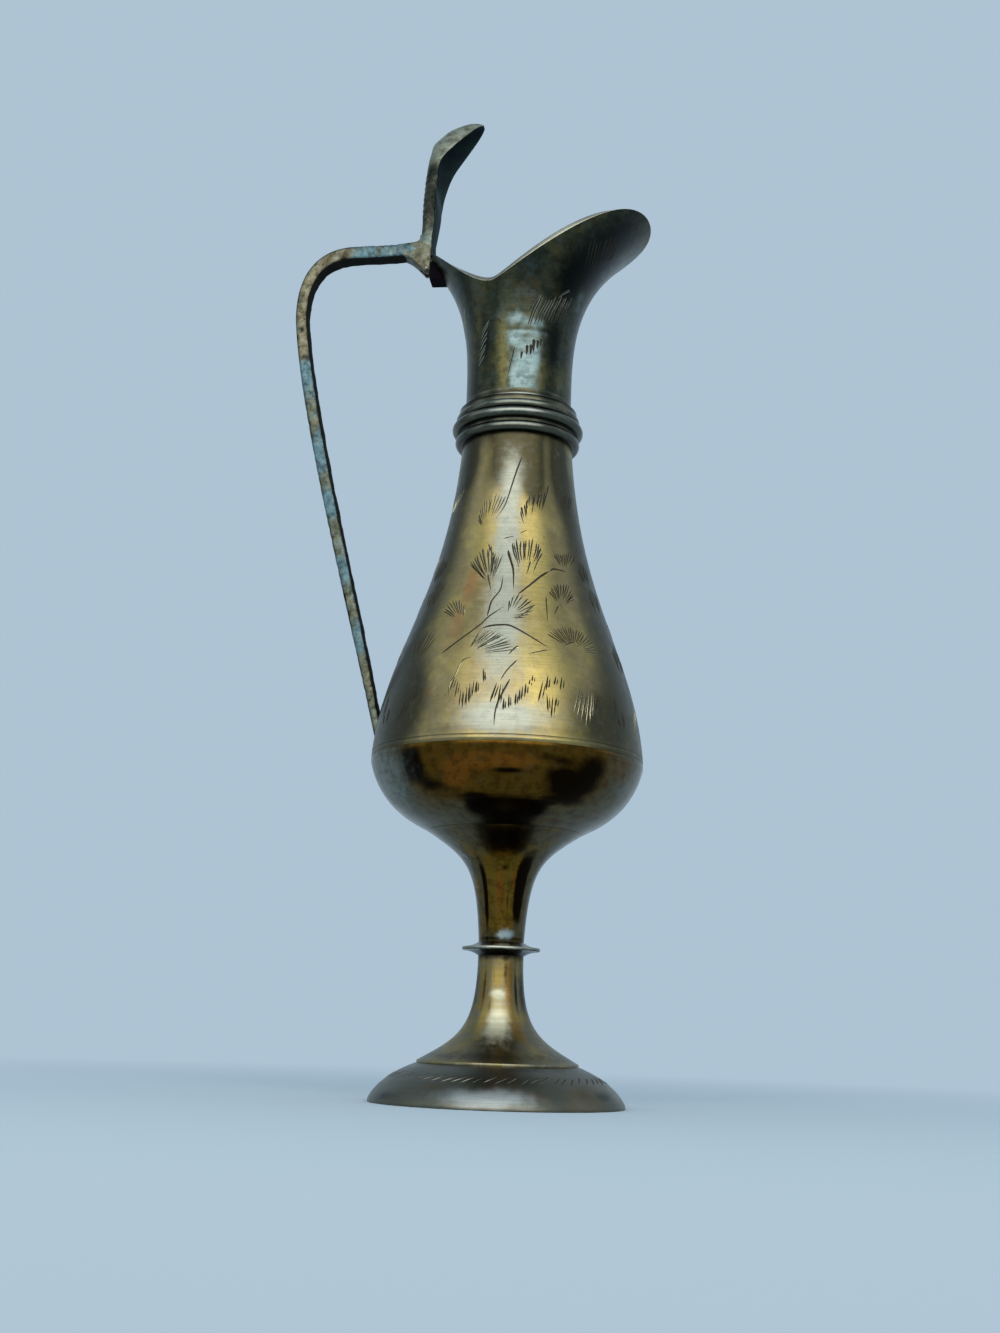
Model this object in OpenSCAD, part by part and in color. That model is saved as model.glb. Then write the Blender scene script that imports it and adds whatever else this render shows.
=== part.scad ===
// Engraved brass ewer: domed foot, thin stem with a disc, pear body, beaded collar and trimmed mouth.
// The origin is on the axis, in the plane that the foot stands on. +X points to the pouring lip.

/* [Foot] */
// Diameter of the foot where it stands
foot_d = 48.5; // [44:0.5:60]
// Height of the upright edge round the foot
foot_edge_h = 0.5; // [0.3:0.1:1]
// Width of the flat ring that touches the table
foot_ring_w = 1.3; // [1:0.1:3]
// Height of the domed skirt, up to the land that carries the trumpet
skirt_h = 7.4; // [6:0.1:10]
// Thickness of the skirt
skirt_wall = 1.1; // [0.8:0.1:1.6]
// Diameter of the trumpet's flange, where it makes a step on the skirt
flange_d = 30.6; // [28:0.2:34]
// Thickness of that flange at its edge
flange_edge_h = 0.45; // [0.3:0.05:1]
// Diameter of the hole in the middle of the skirt
skirt_hole_d = 18; // [16:0.5:20]
// Height of the trumpet above the skirt's land
trumpet_h = 20.2; // [17:0.2:30]
// Thickness of the trumpet where it is hollow
trumpet_wall = 1.2; // [0.9:0.1:1.6]
// Solid metal at the top of the trumpet, which the screw passes
trumpet_web_h = 9.6; // [6:0.2:12]
// Width of the hollow under that metal
trumpet_bore_d = 6; // [5.4:0.1:6.6]

/* [Stem] */
// Thinnest diameter of the stem
stem_d = 8.7; // [8:0.1:11]
// Diameter of the disc round the stem
disc_d = 15; // [12:0.1:20]
// Thickness of the disc at its edge
disc_edge_h = 0.6; // [0.4:0.05:1.2]
// Height of the disc's hub, between foot and funnel
disc_hub_h = 2.6; // [2:0.1:4]
// Height of the funnel, from the disc to its seam with the bowl
funnel_h = 21; // [18:0.2:30]
// Diameter of the bowl where it meets the funnel
seam_d = 30; // [27:0.2:34]
// Slope of the wall at that seam, up from level
seam_slope = 33; // [28:1:40]
// Height of the funnel's solid foot, under the liquid
funnel_solid_h = 13.4; // [11:0.2:15]

/* [Screw] */
// Diameter of the screw inside the stem
screw_d = 3; // [2:0.1:3.4]
// Gap round the screw in its holes
screw_gap = 0.1; // [0.05:0.05:0.2]
// Depth of the screw in the funnel
screw_grip = 8; // [5:0.2:9.5]
// Diameter of the screw's head
screw_head_d = 4.8; // [4:0.1:5]
// Height of the screw's head
screw_head_h = 2; // [1.4:0.1:3]
// Width of the slot in the head
screw_slot_w = 0.8; // [0.5:0.1:1.2]
// Thickness of the washer under the head
washer_h = 0.5; // [0.3:0.1:1]
// Diameter of the washer
washer_d = 5.2; // [4.6:0.1:5.3]

/* [Body] */
// Widest diameter of the body
belly_d = 53.4; // [48:0.2:70]
// Height of the upright band at the belly
belly_band_h = 1.4; // [0.6:0.1:3]
// Height of the bowl, from its seam to the belly
bowl_h = 13.7; // [12:0.1:20]
// Height of the shoulder, from the belly to the collar
shoulder_h = 65.3; // [56:0.5:90]
// Diameter of the body's neck under the collar
neck_root_d = 22.5; // [21.5:0.1:24]
// Thickness of the body's wall
body_wall = 1; // [0.8:0.05:1.4]
// Height of the lap that joins bowl and shoulder
lap_h = 1.5; // [0.8:0.1:3]
// Gap in that lap
lap_gap = 0.05; // [0.02:0.01:0.1]

/* [Collar] */
// Diameter of the lower bead
lower_bead_d = 25.5; // [25:0.1:28]
// Height of the lower bead
lower_bead_h = 2.1; // [1.6:0.1:3]
// Diameter of the groove between the beads
groove_d = 24.2; // [23.8:0.1:24.8]
// Height of that groove
groove_h = 0.7; // [0.4:0.1:1.4]
// Diameter of the main bead
main_bead_d = 26.9; // [26.2:0.1:30]
// Height of the main bead
main_bead_h = 2; // [1.6:0.1:3]
// Diameter of the band above the main bead
band_d = 25.4; // [25:0.1:26]
// Height of that band
band_h = 1.9; // [1.2:0.1:3]
// Diameter of the small step above the band
step_d = 24.2; // [23.6:0.1:24.8]
// Height of that step
step_h = 1; // [0.6:0.1:2]
// Height of the cove that runs into the neck
cove_h = 1.8; // [1:0.1:3]
// Height of the joint of the two tubes above the collar's foot
tube_joint_h = 3; // [2:0.1:5]
// Gap between the collar and the tubes in it
collar_gap = 0.05; // [0.02:0.01:0.1]

/* [Mouth] */
// Outer diameter of the neck above the collar
neck_d = 21.7; // [20.5:0.1:22.4]
// Thickness of the neck and the mouth
neck_wall = 1; // [0.7:0.05:1.4]
// Straight neck above the collar
neck_h = 2.3; // [1:0.1:8]
// Height of the full trumpet before its rim is trimmed
flare_h = 38.5; // [36:0.5:44]
// Diameter of the full trumpet
flare_d = 57; // [52:0.5:64]
// Height of the pouring lip above the start of the trumpet
lip_h = 37.3; // [34:0.1:38]
// Height of the saddles, the lowest places of the rim
saddle_h = 20.2; // [16:0.1:24]
// Distance of the saddles behind the axis
saddle_back = 5; // [0:0.5:8]
// Height of the back edge, where the handle is fixed
back_h = 29.8; // [27:0.1:32]

/* [Handle] */
// Width of the handle, across the ewer
handle_w = 3.8; // [2.6:0.1:5]
// Thickness of the arm at the mouth
arm_t = 3.2; // [2:0.1:4.5]
// Thickness of the handle at its outer corner
corner_t = 2.5; // [1.6:0.1:4]
// Thickness of the handle's lower end
end_t = 1.7; // [1.2:0.1:3]
// Distance of the handle's middle line from the axis at its widest
handle_reach = 47; // [42:0.5:56]
// Height of the arm's middle line above the mouth's back edge
arm_rise = 3.6; // [2.8:0.1:6]
// Length of the arm, from the tab to the corner
arm_l = 15.5; // [12:0.1:17]
// Height that the corner takes
corner_h = 15; // [12:0.1:20]
// Height of the handle's lower end above the belly line
end_rise = 4; // [3:0.1:10]

/* [Tab] */
// Thickness of the tab that stands at the mouth
tab_t = 2.5; // [2:0.1:3.5]
// Reach of the tab below the arm's middle line
tab_drop = 6.2; // [5.4:0.1:7]
// Thickness of the tab's foot
tab_tip_t = 1.3; // [1.1:0.1:2]
// Length of the web between the tab and the arm
web_l = 6; // [4:0.1:8]
// Gap between the tab and the mouth's back edge
tab_gap = 0.4; // [0.3:0.05:1]
// Width of the lug between the tab and the mouth
lug_w = 4.4; // [3:0.1:6]
// Height of the lug
lug_h = 3.8; // [3:0.1:4.6]
// Thickness of the lug's tongue in the tab
tongue_t = 1.4; // [1:0.1:2]
// Reach of that tongue into the tab
tongue_l = 1.7; // [1.2:0.1:1.8]
// Gap round the tongue in its slot
tongue_gap = 0.1; // [0.05:0.05:0.2]
// Height of the rivet above the tab's foot
rivet_rise = 1; // [0.8:0.1:1.4]
// Diameter of the rivet through tab and tongue
rivet_d = 0.9; // [0.6:0.1:1]
// Gap round the rivet
rivet_gap = 0.05; // [0.02:0.01:0.08]

/* [Thumb leaf] */
// Height of the leaf above the arm's middle line
leaf_h = 29.4; // [22:0.2:36]
// Forward reach of the leaf's tip from the tab
leaf_reach = 10.2; // [6:0.2:14]
// Widest width of the leaf
leaf_w = 11.6; // [8:0.2:16]
// Greatest depth of the leaf, with its wall
leaf_depth = 5.2; // [4:0.1:7]
// Thickness of the leaf's wall
leaf_wall = 1.1; // [0.8:0.1:1.6]

/* [Hidden] */

gold = "#a8883c";
dark_gold = "#7d672e";
dull_brass = "#7c7466";
green_brass = "#6f7561";
solder_grey = "#3c3a34";
steel = "#8d9093";

round_fn = 96;
curve_steps = 20;
arc_steps = 8;
cut_over = 1;

// Heights of the joints, from the table up
trumpet_z = skirt_h;
disc_z = trumpet_z + trumpet_h;
funnel_z = disc_z + disc_hub_h;
seam_z = funnel_z + funnel_h;
belly_z = seam_z + bowl_h;
collar_z = belly_z + shoulder_h;
tube_joint_z = collar_z + tube_joint_h;
collar_h = lower_bead_h + groove_h + main_bead_h + band_h + step_h + cove_h;
neck_z = collar_z + collar_h;
flare_z = neck_z + neck_h;
lip_z = flare_z + lip_h;
back_z = flare_z + back_h;
arm_z = back_z + arm_rise;

foot_r = foot_d / 2;
flange_r = flange_d / 2;
stem_r = stem_d / 2;
disc_r = disc_d / 2;
seam_r = seam_d / 2;
belly_r = belly_d / 2;
neck_root_r = neck_root_d / 2;
neck_r = neck_d / 2;

// How far the two pulls of each curve lie along its span, outward and upward
skirt_shares = [[0.073, 0.27], [0.363, 0.695]];
trumpet_shares = [[0.718, 0.222], [1, 0.3]];
funnel_shares = [0.079, 0.69];
funnel_pull_share = 0.88;
bowl_pull_share = 0.19;
bowl_shares = [0.81, 0.27];
shoulder_shares = [[0.121, 0.334], [0.848, 0.481]];
flare_shares = [[0, 0.359], [0.036, 0.669]];
disc_shares = [[0.25, 0.6], [0.6, 0.9]];
front_rim_shares = [[0.108, 0], [0.677, 0.94]];
back_rim_shares = [[0.27, 0], [0.68, 0.62]];
corner_shares = [[0.7, 0.04], [1.02, 0.42]];
run_shares = [[0.061, 0.22], [0.718, 0.736]];
web_shares = [[0.43, 0], [0.73, 0.58]];
leaf_shares = [[0.22, 0.71], [-0.08, 0.535]];
// Places along the leaf, each with its half width and its depth as shares of the greatest
leaf_width_shares = [[0, 0.42], [0.11, 0.59], [0.21, 0.76], [0.32, 0.87], [0.45, 1], [0.56, 0.97],
    [0.7, 0.79], [0.8, 0.66], [0.87, 0.52], [0.94, 0.31], [1, 0.07]];
leaf_depth_shares = [[0, 0.47], [0.1, 0.53], [0.3, 0.59], [0.4, 0.62], [0.5, 0.685], [0.6, 0.82],
    [0.7, 1], [0.8, 0.98], [0.87, 0.88], [0.94, 0.56], [1, 0.14]];
// How far the hollow goes towards the wall behind it, and how round the section is
leaf_hollow_shares = [[0, -0.4], [0.15, -0.3], [0.3, 0.3], [0.45, 0.85], [0.6, 1], [0.9, 1], [1, 0.6]];
leaf_rim_share = 0.6;
leaf_round_shares = [[0, 0.45], [0.35, 0.8], [0.5, 1], [1, 1]];

// A smooth curve from a to b, drawn towards two points between them
function bend(a, p, q, b, steps) = [
    for (i = [0 : steps])
        let (t = i / steps, s = 1 - t)
            s * s * s * a + 3 * s * s * t * p + 3 * s * t * t * q + t * t * t * b
];
function part_way(a, b, shares) = [a.x + (b.x - a.x) * shares.x, a.y + (b.y - a.y) * shares.y];
function curve(a, b, shares, steps) =
    bend(a, part_way(a, b, shares[0]), part_way(a, b, shares[1]), b, steps);

function reverse(list) = [for (i = [len(list) - 1 : -1 : 0]) list[i]];
function heading(line, i) =
    let (a = line[max(i - 1, 0)], b = line[min(i + 1, len(line) - 1)])
        (b - a) / norm(b - a);
function beside(line, gaps) = [
    for (i = [0 : len(line) - 1])
        let (d = heading(line, i), gap = is_list(gaps) ? gaps[i] : gaps)
            line[i] + gap * [-d.y, d.x]
];
function wall_of(line, thickness) = concat(line, reverse(beside(line, thickness)));
function radius_at(line, z) = lookup(z, [for (p = line) [p.y, p.x]]);

// A half round from a up to b that stands out by rise
function bulge(a, b, rise) =
    let (
        chord = norm(b - a),
        d = (b - a) / chord,
        out = [d.y, -d.x],
        r = (chord * chord / 4 + rise * rise) / (2 * rise),
        half = rise < chord / 2 ? asin(chord / 2 / r) : 180 - asin(chord / 2 / r),
        middle = (a + b) / 2 + (rise - r) * out
    )
        [
            for (i = [0 : arc_steps])
                let (t = half * (2 * i / arc_steps - 1))
                    middle + r * (cos(t) * out + sin(t) * d)
        ];

skirt_line = curve([foot_r, foot_edge_h], [flange_r, skirt_h], skirt_shares, curve_steps);
trumpet_line = curve([flange_r, trumpet_z + flange_edge_h], [stem_r, disc_z], trumpet_shares,
    curve_steps);

seam = [seam_r, seam_z];
seam_way = [cos(seam_slope), sin(seam_slope)];
funnel_foot = [stem_r, funnel_z];
funnel_line = bend(
    funnel_foot,
    part_way(funnel_foot, seam, funnel_shares),
    seam - funnel_pull_share * (seam_r - stem_r) * seam_way,
    seam,
    curve_steps
);
bowl_top = [belly_r, belly_z - belly_band_h / 2];
bowl_line = bend(
    seam,
    seam + bowl_pull_share * (belly_r - seam_r) * seam_way,
    part_way(seam, bowl_top, bowl_shares),
    bowl_top,
    curve_steps
);
shoulder_line = concat(
    curve([belly_r, belly_z + belly_band_h / 2], [neck_root_r, collar_z], shoulder_shares,
        curve_steps),
    [[neck_root_r, tube_joint_z]]
);
flare_line = curve([neck_r, flare_z], [flare_d / 2, flare_z + flare_h], flare_shares, curve_steps);
neck_line = concat([[neck_r, tube_joint_z]], flare_line);

module turned(outline) {
    rotate_extrude($fn = round_fn)
        polygon(outline);
}

// An outline in the plane of handle and lip, given its width across the ewer
module upright_plate(outline, width) {
    rotate([90, 0, 0])
        linear_extrude(height = width, center = true)
            polygon(outline);
}

module foot_skirt() {
    under = beside(skirt_line, skirt_wall);
    hole_r = skirt_hole_d / 2;
    dome_under = [for (p = under) if (p.y > foot_edge_h && p.x > flange_r) p];
    color(dull_brass)
        turned(concat(
            [[foot_r - foot_ring_w, 0], [foot_r, 0]],
            skirt_line,
            [[hole_r, skirt_h], [hole_r, skirt_h - skirt_wall]],
            [[flange_r, skirt_h - skirt_wall]],
            reverse(dome_under)
        ));
}

module foot_trumpet() {
    bore_r = trumpet_bore_d / 2;
    spigot_r = skirt_hole_d / 2 - screw_gap;
    roof_z = disc_z - trumpet_web_h;
    spigot_z = trumpet_z - skirt_wall;
    inside = [
        for (p = beside(trumpet_line, trumpet_wall))
            if (p.x > bore_r && p.x < spigot_r - trumpet_wall && p.y < roof_z) p
    ];
    color(gold)
        difference() {
            turned(concat(
                [[0, roof_z], [bore_r, roof_z]],
                reverse(inside),
                [[spigot_r - trumpet_wall, spigot_z], [spigot_r, spigot_z], [spigot_r, trumpet_z]],
                [[flange_r, trumpet_z]],
                trumpet_line,
                [[0, disc_z]]
            ));
            translate([0, 0, roof_z - cut_over])
                cylinder(h = trumpet_web_h + 2 * cut_over, d = screw_d + 2 * screw_gap, $fn = 48);
        }
}

module stem_disc() {
    bore_r = screw_d / 2 + screw_gap;
    edge_z = disc_z + (disc_hub_h - disc_edge_h) / 2;
    lower = curve([stem_r, disc_z], [disc_r, edge_z], disc_shares, arc_steps);
    upper = [for (p = lower) [p.x, 2 * disc_z + disc_hub_h - p.y]];
    color(dark_gold)
        turned(concat(
            [[bore_r, disc_z]],
            lower,
            reverse(upper),
            [[bore_r, disc_z + disc_hub_h]]
        ));
}

module stem_funnel() {
    floor_z = funnel_z + funnel_solid_h;
    inside = [for (p = beside(funnel_line, body_wall)) if (p.y > floor_z) p];
    color(gold)
        difference() {
            turned(concat(
                [[0, funnel_z]],
                funnel_line,
                reverse(inside),
                [[inside[0].x, floor_z], [0, floor_z]]
            ));
            translate([0, 0, funnel_z - cut_over])
                cylinder(h = screw_grip + screw_gap + cut_over, d = screw_d + 2 * screw_gap,
                    $fn = 48);
        }
}

module screw_washer() {
    seat_z = disc_z - trumpet_web_h - washer_h;
    color(steel)
        translate([0, 0, seat_z])
            difference() {
                cylinder(h = washer_h, d = washer_d, $fn = 48);
                translate([0, 0, -cut_over])
                    cylinder(h = washer_h + 2 * cut_over, d = screw_d + 2 * screw_gap, $fn = 48);
            }
}

module stem_screw() {
    head_z = disc_z - trumpet_web_h - washer_h - screw_head_h;
    shank_top_z = funnel_z + screw_grip;
    color(steel)
        difference() {
            union() {
                translate([0, 0, head_z])
                    cylinder(h = screw_head_h, d = screw_head_d, $fn = 48);
                translate([0, 0, head_z])
                    cylinder(h = shank_top_z - head_z, d = screw_d, $fn = 48);
            }
            translate([0, 0, head_z])
                cube([screw_head_d + cut_over, screw_slot_w, screw_head_h], center = true);
        }
}

module body_bowl() {
    lap_r = belly_r - body_wall / 2;
    color(dark_gold)
        turned(concat(
            bowl_line,
            [[belly_r, belly_z], [lap_r, belly_z], [lap_r, belly_z + lap_h]],
            [[belly_r - body_wall, belly_z + lap_h]],
            reverse(beside(bowl_line, body_wall))
        ));
}

module body_shoulder() {
    lap_r = belly_r - body_wall / 2 + lap_gap;
    color(gold)
        difference() {
            turned(concat(
                [[belly_r - body_wall, belly_z], [belly_r, belly_z]],
                shoulder_line,
                reverse(beside(shoulder_line, body_wall))
            ));
            translate([0, 0, belly_z - cut_over])
                cylinder(h = lap_h + lap_gap + cut_over, r = lap_r, $fn = round_fn);
        }
}

module collar_ring() {
    groove_r = groove_d / 2;
    band_r = band_d / 2;
    step_r = step_d / 2;
    low_bore_r = neck_root_r + collar_gap;
    top_bore_r = neck_r + collar_gap;
    bead_z = collar_z + lower_bead_h;
    main_z = bead_z + groove_h;
    band_z = main_z + main_bead_h;
    step_z = band_z + band_h;
    cove_z = step_z + step_h;
    band_rise = band_r - groove_r;
    cove_top = [top_bore_r, neck_z];
    cove_foot = [step_r, cove_z];
    color(green_brass)
        turned(concat(
            [[low_bore_r, collar_z]],
            bulge([groove_r, collar_z], [groove_r, bead_z], lower_bead_d / 2 - groove_r),
            bulge([groove_r, main_z], [groove_r, band_z], main_bead_d / 2 - groove_r),
            bulge([groove_r, band_z], [groove_r, step_z], band_rise),
            [[step_r, step_z], cove_foot],
            bend(cove_foot, [top_bore_r, cove_z], [top_bore_r, cove_z], cove_top, arc_steps),
            [[top_bore_r, tube_joint_z], [low_bore_r, tube_joint_z]]
        ));
}

// The solid inside the trumpet's outer surface
module flare_core() {
    turned(concat([[0, tube_joint_z]], neck_line, [[0, flare_z + flare_h]]));
}

module spout_neck() {
    saddle = [-saddle_back, flare_z + saddle_h];
    lip = [radius_at(flare_line, lip_z), lip_z];
    back = [-radius_at(flare_line, back_z) + neck_wall, back_z];
    over_r = flare_d / 2 + cut_over;
    over_z = flare_z + flare_h + flare_d;
    rim = concat(
        curve(lip, saddle, [[1 - front_rim_shares[1].x, 1 - front_rim_shares[1].y],
            [1 - front_rim_shares[0].x, 1 - front_rim_shares[0].y]], curve_steps),
        curve(saddle, back, back_rim_shares, curve_steps)
    );
    color(green_brass)
        difference() {
            turned(wall_of(neck_line, neck_wall));
            upright_plate(
                concat(
                    [[over_r, over_z], [over_r, lip_z]],
                    rim,
                    [[-over_r, back_z], [-over_r, over_z]]
                ),
                2 * over_r
            );
        }
}

// Places shared by the handle, its lug and its rivet
tab_x = -radius_at(flare_line, back_z) - tab_gap;
tab_foot_z = arm_z - tab_drop;
lug_top_z = back_z - tab_gap;
rivet_z = tab_foot_z + rivet_rise;
rivet_x = tab_x - tongue_l / 2;

// The middle line of arm, corner and long run, and its thickness from arm to end
arm_start = [tab_x - tab_t / 2, arm_z];
corner_start = [arm_start.x - arm_l, arm_z - corner_t / 4];
corner_end = [-handle_reach, arm_z - corner_h];
handle_end_z = belly_z + end_rise;
handle_end = [end_t / 2 - radius_at(shoulder_line, handle_end_z), handle_end_z];
corner_line = curve(corner_start, corner_end, corner_shares, curve_steps);
run_line = curve(corner_end, handle_end, run_shares, curve_steps);
arm_half = [arm_t / 2];
corner_half = [
    for (i = [0 : curve_steps]) (arm_t + (corner_t - arm_t) * i / curve_steps) / 2
];
run_half = [
    for (i = [1 : curve_steps]) (corner_t + (end_t - corner_t) * i / curve_steps) / 2
];
handle_line = concat([arm_start], corner_line, [for (i = [1 : curve_steps]) run_line[i]]);
handle_half = concat(arm_half, corner_half, run_half);
handle_outline = concat(
    beside(handle_line, handle_half),
    reverse(beside(handle_line, -handle_half))
);

// The tab at the mouth, with the webs that join it to the arm
web_start = arm_start.x - web_l;
tab_top = [tab_x - tab_t, arm_z + arm_t];
tab_tip = [tab_x - tab_tip_t, tab_foot_z];
web_top = [web_start, arm_z + arm_t / 2];
web_foot = [web_start, arm_z - arm_t / 2];
fillet_pull = [tab_top.x, web_top.y];
tab_outline = concat(
    [[tab_x, tab_foot_z + tab_tip_t / 4], [tab_x, tab_top.y]],
    bend(tab_top, fillet_pull, fillet_pull, web_top, arc_steps),
    curve(web_foot, tab_tip, web_shares, arc_steps)
);

// The thumb leaf: a spine of edge places, with half widths and depths along it
leaf_foot = [tab_x, arm_z + arm_t / 2];
leaf_tip = [tab_x + leaf_reach, arm_z + leaf_h];
leaf_line = curve(leaf_foot, leaf_tip, leaf_shares, curve_steps);
leaf_ring = 10;

function rounded(value, power) = sign(value) * pow(abs(value), power);
function leaf_arc(i, half, depth, turn) =
    let (
        d = heading(leaf_line, i),
        power = lookup(i / curve_steps, leaf_round_shares)
    )
        [
            for (k = [0 : leaf_ring])
                let (
                    a = 180 * k / leaf_ring,
                    p = leaf_line[i] + depth * rounded(sin(a), power) * [-d.y, d.x]
                )
                    [p.x, turn * half * rounded(cos(a), power), p.y]
        ];
function leaf_section(i) =
    let (
        t = i / curve_steps,
        half = leaf_w / 2 * lookup(t, leaf_width_shares),
        depth = leaf_depth * lookup(t, leaf_depth_shares),
        rim = leaf_rim_share * leaf_wall * half / (leaf_w / 2),
        hollow = max(depth - leaf_wall, depth / 8) * lookup(t, leaf_hollow_shares)
    )
        concat(leaf_arc(i, half, depth, -1), leaf_arc(i, half - rim, hollow, 1));

module thumb_leaf() {
    per_ring = 2 * (leaf_ring + 1);
    points = [for (i = [0 : curve_steps]) each leaf_section(i)];
    sides = [
        for (i = [0 : curve_steps - 1], k = [0 : per_ring - 1])
            let (
                a = i * per_ring + k,
                b = i * per_ring + (k + 1) % per_ring,
                c = a + per_ring,
                e = b + per_ring
            )
                each [[a, b, e], [a, e, c]]
    ];
    foot = [for (k = [0 : leaf_ring - 1]) [k, per_ring - 1 - k, per_ring - 2 - k, k + 1]];
    tip = [
        for (quad = foot)
            [for (j = [3 : -1 : 0]) curve_steps * per_ring + quad[j]]
    ];
    ends = [for (quad = concat(foot, tip)) each [[quad[0], quad[1], quad[2]],
        [quad[0], quad[2], quad[3]]]];
    polyhedron(points = points, faces = concat(sides, ends), convexity = 6);
}

module handle() {
    slot_w = tongue_t + 2 * tongue_gap;
    slot_l = web_l;
    slot_top_z = lug_top_z + tongue_gap;
    color(green_brass)
        difference() {
            union() {
                rotate([90, 0, 0])
                    linear_extrude(height = handle_w, center = true)
                        union() {
                            polygon(handle_outline);
                            polygon(tab_outline);
                        }
                thumb_leaf();
            }
            turned(concat([[0, belly_z]], [[belly_r, belly_z]], shoulder_line,
                [[0, tube_joint_z]]));
            translate([tab_x - slot_l, -slot_w / 2, tab_foot_z - cut_over])
                cube([slot_l + cut_over, slot_w, slot_top_z - tab_foot_z + cut_over]);
            translate([rivet_x, 0, rivet_z])
                rotate([90, 0, 0])
                    cylinder(h = handle_w + 2 * cut_over, d = rivet_d + 2 * rivet_gap,
                        center = true, $fn = 32);
        }
}

module handle_lug() {
    lug_foot_z = lug_top_z - lug_h;
    color(solder_grey)
        difference() {
            union() {
                translate([tab_x, -lug_w / 2, lug_foot_z])
                    cube([-tab_x, lug_w, lug_h]);
                upright_plate(
                    [
                        [tab_x - tongue_l, lug_top_z],
                        [tab_x - tongue_l, tab_foot_z],
                        [tab_x, lug_foot_z],
                        [tab_x + cut_over, lug_foot_z],
                        [tab_x + cut_over, lug_top_z]
                    ],
                    tongue_t
                );
            }
            flare_core();
            translate([rivet_x, 0, rivet_z])
                rotate([90, 0, 0])
                    cylinder(h = lug_w + cut_over, d = rivet_d + 2 * rivet_gap, center = true,
                        $fn = 32);
        }
}

module handle_rivet() {
    color(dark_gold)
        translate([rivet_x, 0, rivet_z])
            rotate([90, 0, 0])
                cylinder(h = handle_w, d = rivet_d, center = true, $fn = 32);
}

foot_skirt();
foot_trumpet();
stem_disc();
stem_funnel();
stem_screw();
screw_washer();
body_bowl();
body_shoulder();
collar_ring();
spout_neck();
handle();
handle_lug();
handle_rivet();
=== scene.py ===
"""Looks for the engraved brass ewer: turned shells, trimmed mouth, cast handle, graver's strokes.

Sizes are in millimetres in the row frame, +Z up, +X towards the pouring lip. Azimuths are in
degrees round the turning axis, from the front (-Y) towards the lip (+X).
"""

import logging
import math
import random
from bisect import bisect_left
from collections.abc import Callable, Sequence
from dataclasses import dataclass, field, replace
from enum import Enum
from functools import partial

import bmesh
import bpy
from mathutils import Matrix, Vector, noise


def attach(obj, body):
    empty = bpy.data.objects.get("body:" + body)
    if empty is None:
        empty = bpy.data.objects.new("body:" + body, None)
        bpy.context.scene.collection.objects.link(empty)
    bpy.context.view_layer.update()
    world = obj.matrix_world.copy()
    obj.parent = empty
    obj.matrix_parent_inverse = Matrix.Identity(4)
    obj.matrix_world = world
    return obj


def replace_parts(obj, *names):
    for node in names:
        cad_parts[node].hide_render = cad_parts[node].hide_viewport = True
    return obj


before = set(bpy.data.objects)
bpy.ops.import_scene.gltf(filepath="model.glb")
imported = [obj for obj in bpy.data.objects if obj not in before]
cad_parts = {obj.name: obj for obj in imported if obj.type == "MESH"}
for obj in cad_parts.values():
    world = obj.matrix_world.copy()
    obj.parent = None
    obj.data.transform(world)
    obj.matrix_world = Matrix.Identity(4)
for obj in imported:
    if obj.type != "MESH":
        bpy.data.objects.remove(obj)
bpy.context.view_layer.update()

log = logging.getLogger("ewer")
MM = 0.001
MASK_ATTRIBUTE = "stains_and_painted_light"  # name of the attribute that holds the four masks of stains and painted light
MERGE = 0.0005  # corners closer than this become one
ROUND = 192  # faces round the axis of a turned shell
SMOOTH = math.radians(38)  # sharpest edge that is still shaded smooth
SEAM_SLOPE = math.radians(33)  # slope of funnel and bowl at their seam
SCREW_HOLE = 1.6  # radius of the hole for the screw
EASE = 0.12  # how far a turned edge is eased
SEAM = 0.06  # depth of the fine line at a seam
PLAY = 0.05  # room between two sheets that lap

Point = tuple[float, float]  # radius or azimuth, and height
Mesh = bmesh.types.BMesh
Place = Callable[[float, float], Vector]  # position for two shares from 0 to 1
Shade = Callable[[Vector], Sequence[float]]  # the four masks for a position
Nodes = Callable[..., bpy.types.Node]  # adds a node to one material, as add does


# Outlines


def mix(a: float, b: float, share: float) -> float:
    """Gives the number that lies a share of the way from a to b."""
    return a + (b - a) * share


def cubic(a: Point, p: Point, q: Point, b: Point, steps: int) -> list[Point]:
    """Gives a smooth curve from a to b, drawn towards p and q.

    Args:
        a: Start.
        p: Pull near the start.
        q: Pull near the end.
        b: End.
        steps: Number of straight pieces.

    Returns:
        The curve's points, both ends included.
    """
    made = []
    for i in range(steps + 1):
        t = i / steps
        s = 1 - t
        w = (s * s * s, 3 * s * s * t, 3 * s * t * t, t * t * t)
        made.append(tuple(sum(k * c[n] for k, c in zip(w, (a, p, q, b))) for n in (0, 1)))
    return made


def pulled(a: Point, b: Point, first: Point, second: Point, steps: int) -> list[Point]:
    """Gives a cubic whose pulls are shares of the span from a to b.

    Args:
        a: Start.
        b: End.
        first: Share of the span, across and up, for the pull near the start.
        second: The same for the pull near the end.
        steps: Number of straight pieces.

    Returns:
        The curve's points.
    """
    p, q = ((mix(a[0], b[0], k[0]), mix(a[1], b[1], k[1])) for k in (first, second))
    return cubic(a, p, q, b, steps)


def inset(line: Sequence[Point], wall: float) -> list[Point]:
    """Moves a line to its left, which is inwards for an outline that goes up.

    Args:
        line: Points of the line.
        wall: Distance to move.

    Returns:
        The moved points.
    """
    made = []
    for i, (x, z) in enumerate(line):
        a, b = line[max(i - 1, 0)], line[min(i + 1, len(line) - 1)]
        dx, dz = b[0] - a[0], b[1] - a[1]
        size = math.hypot(dx, dz) or 1
        made.append((x - wall * dz / size, z + wall * dx / size))
    return made


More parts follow.
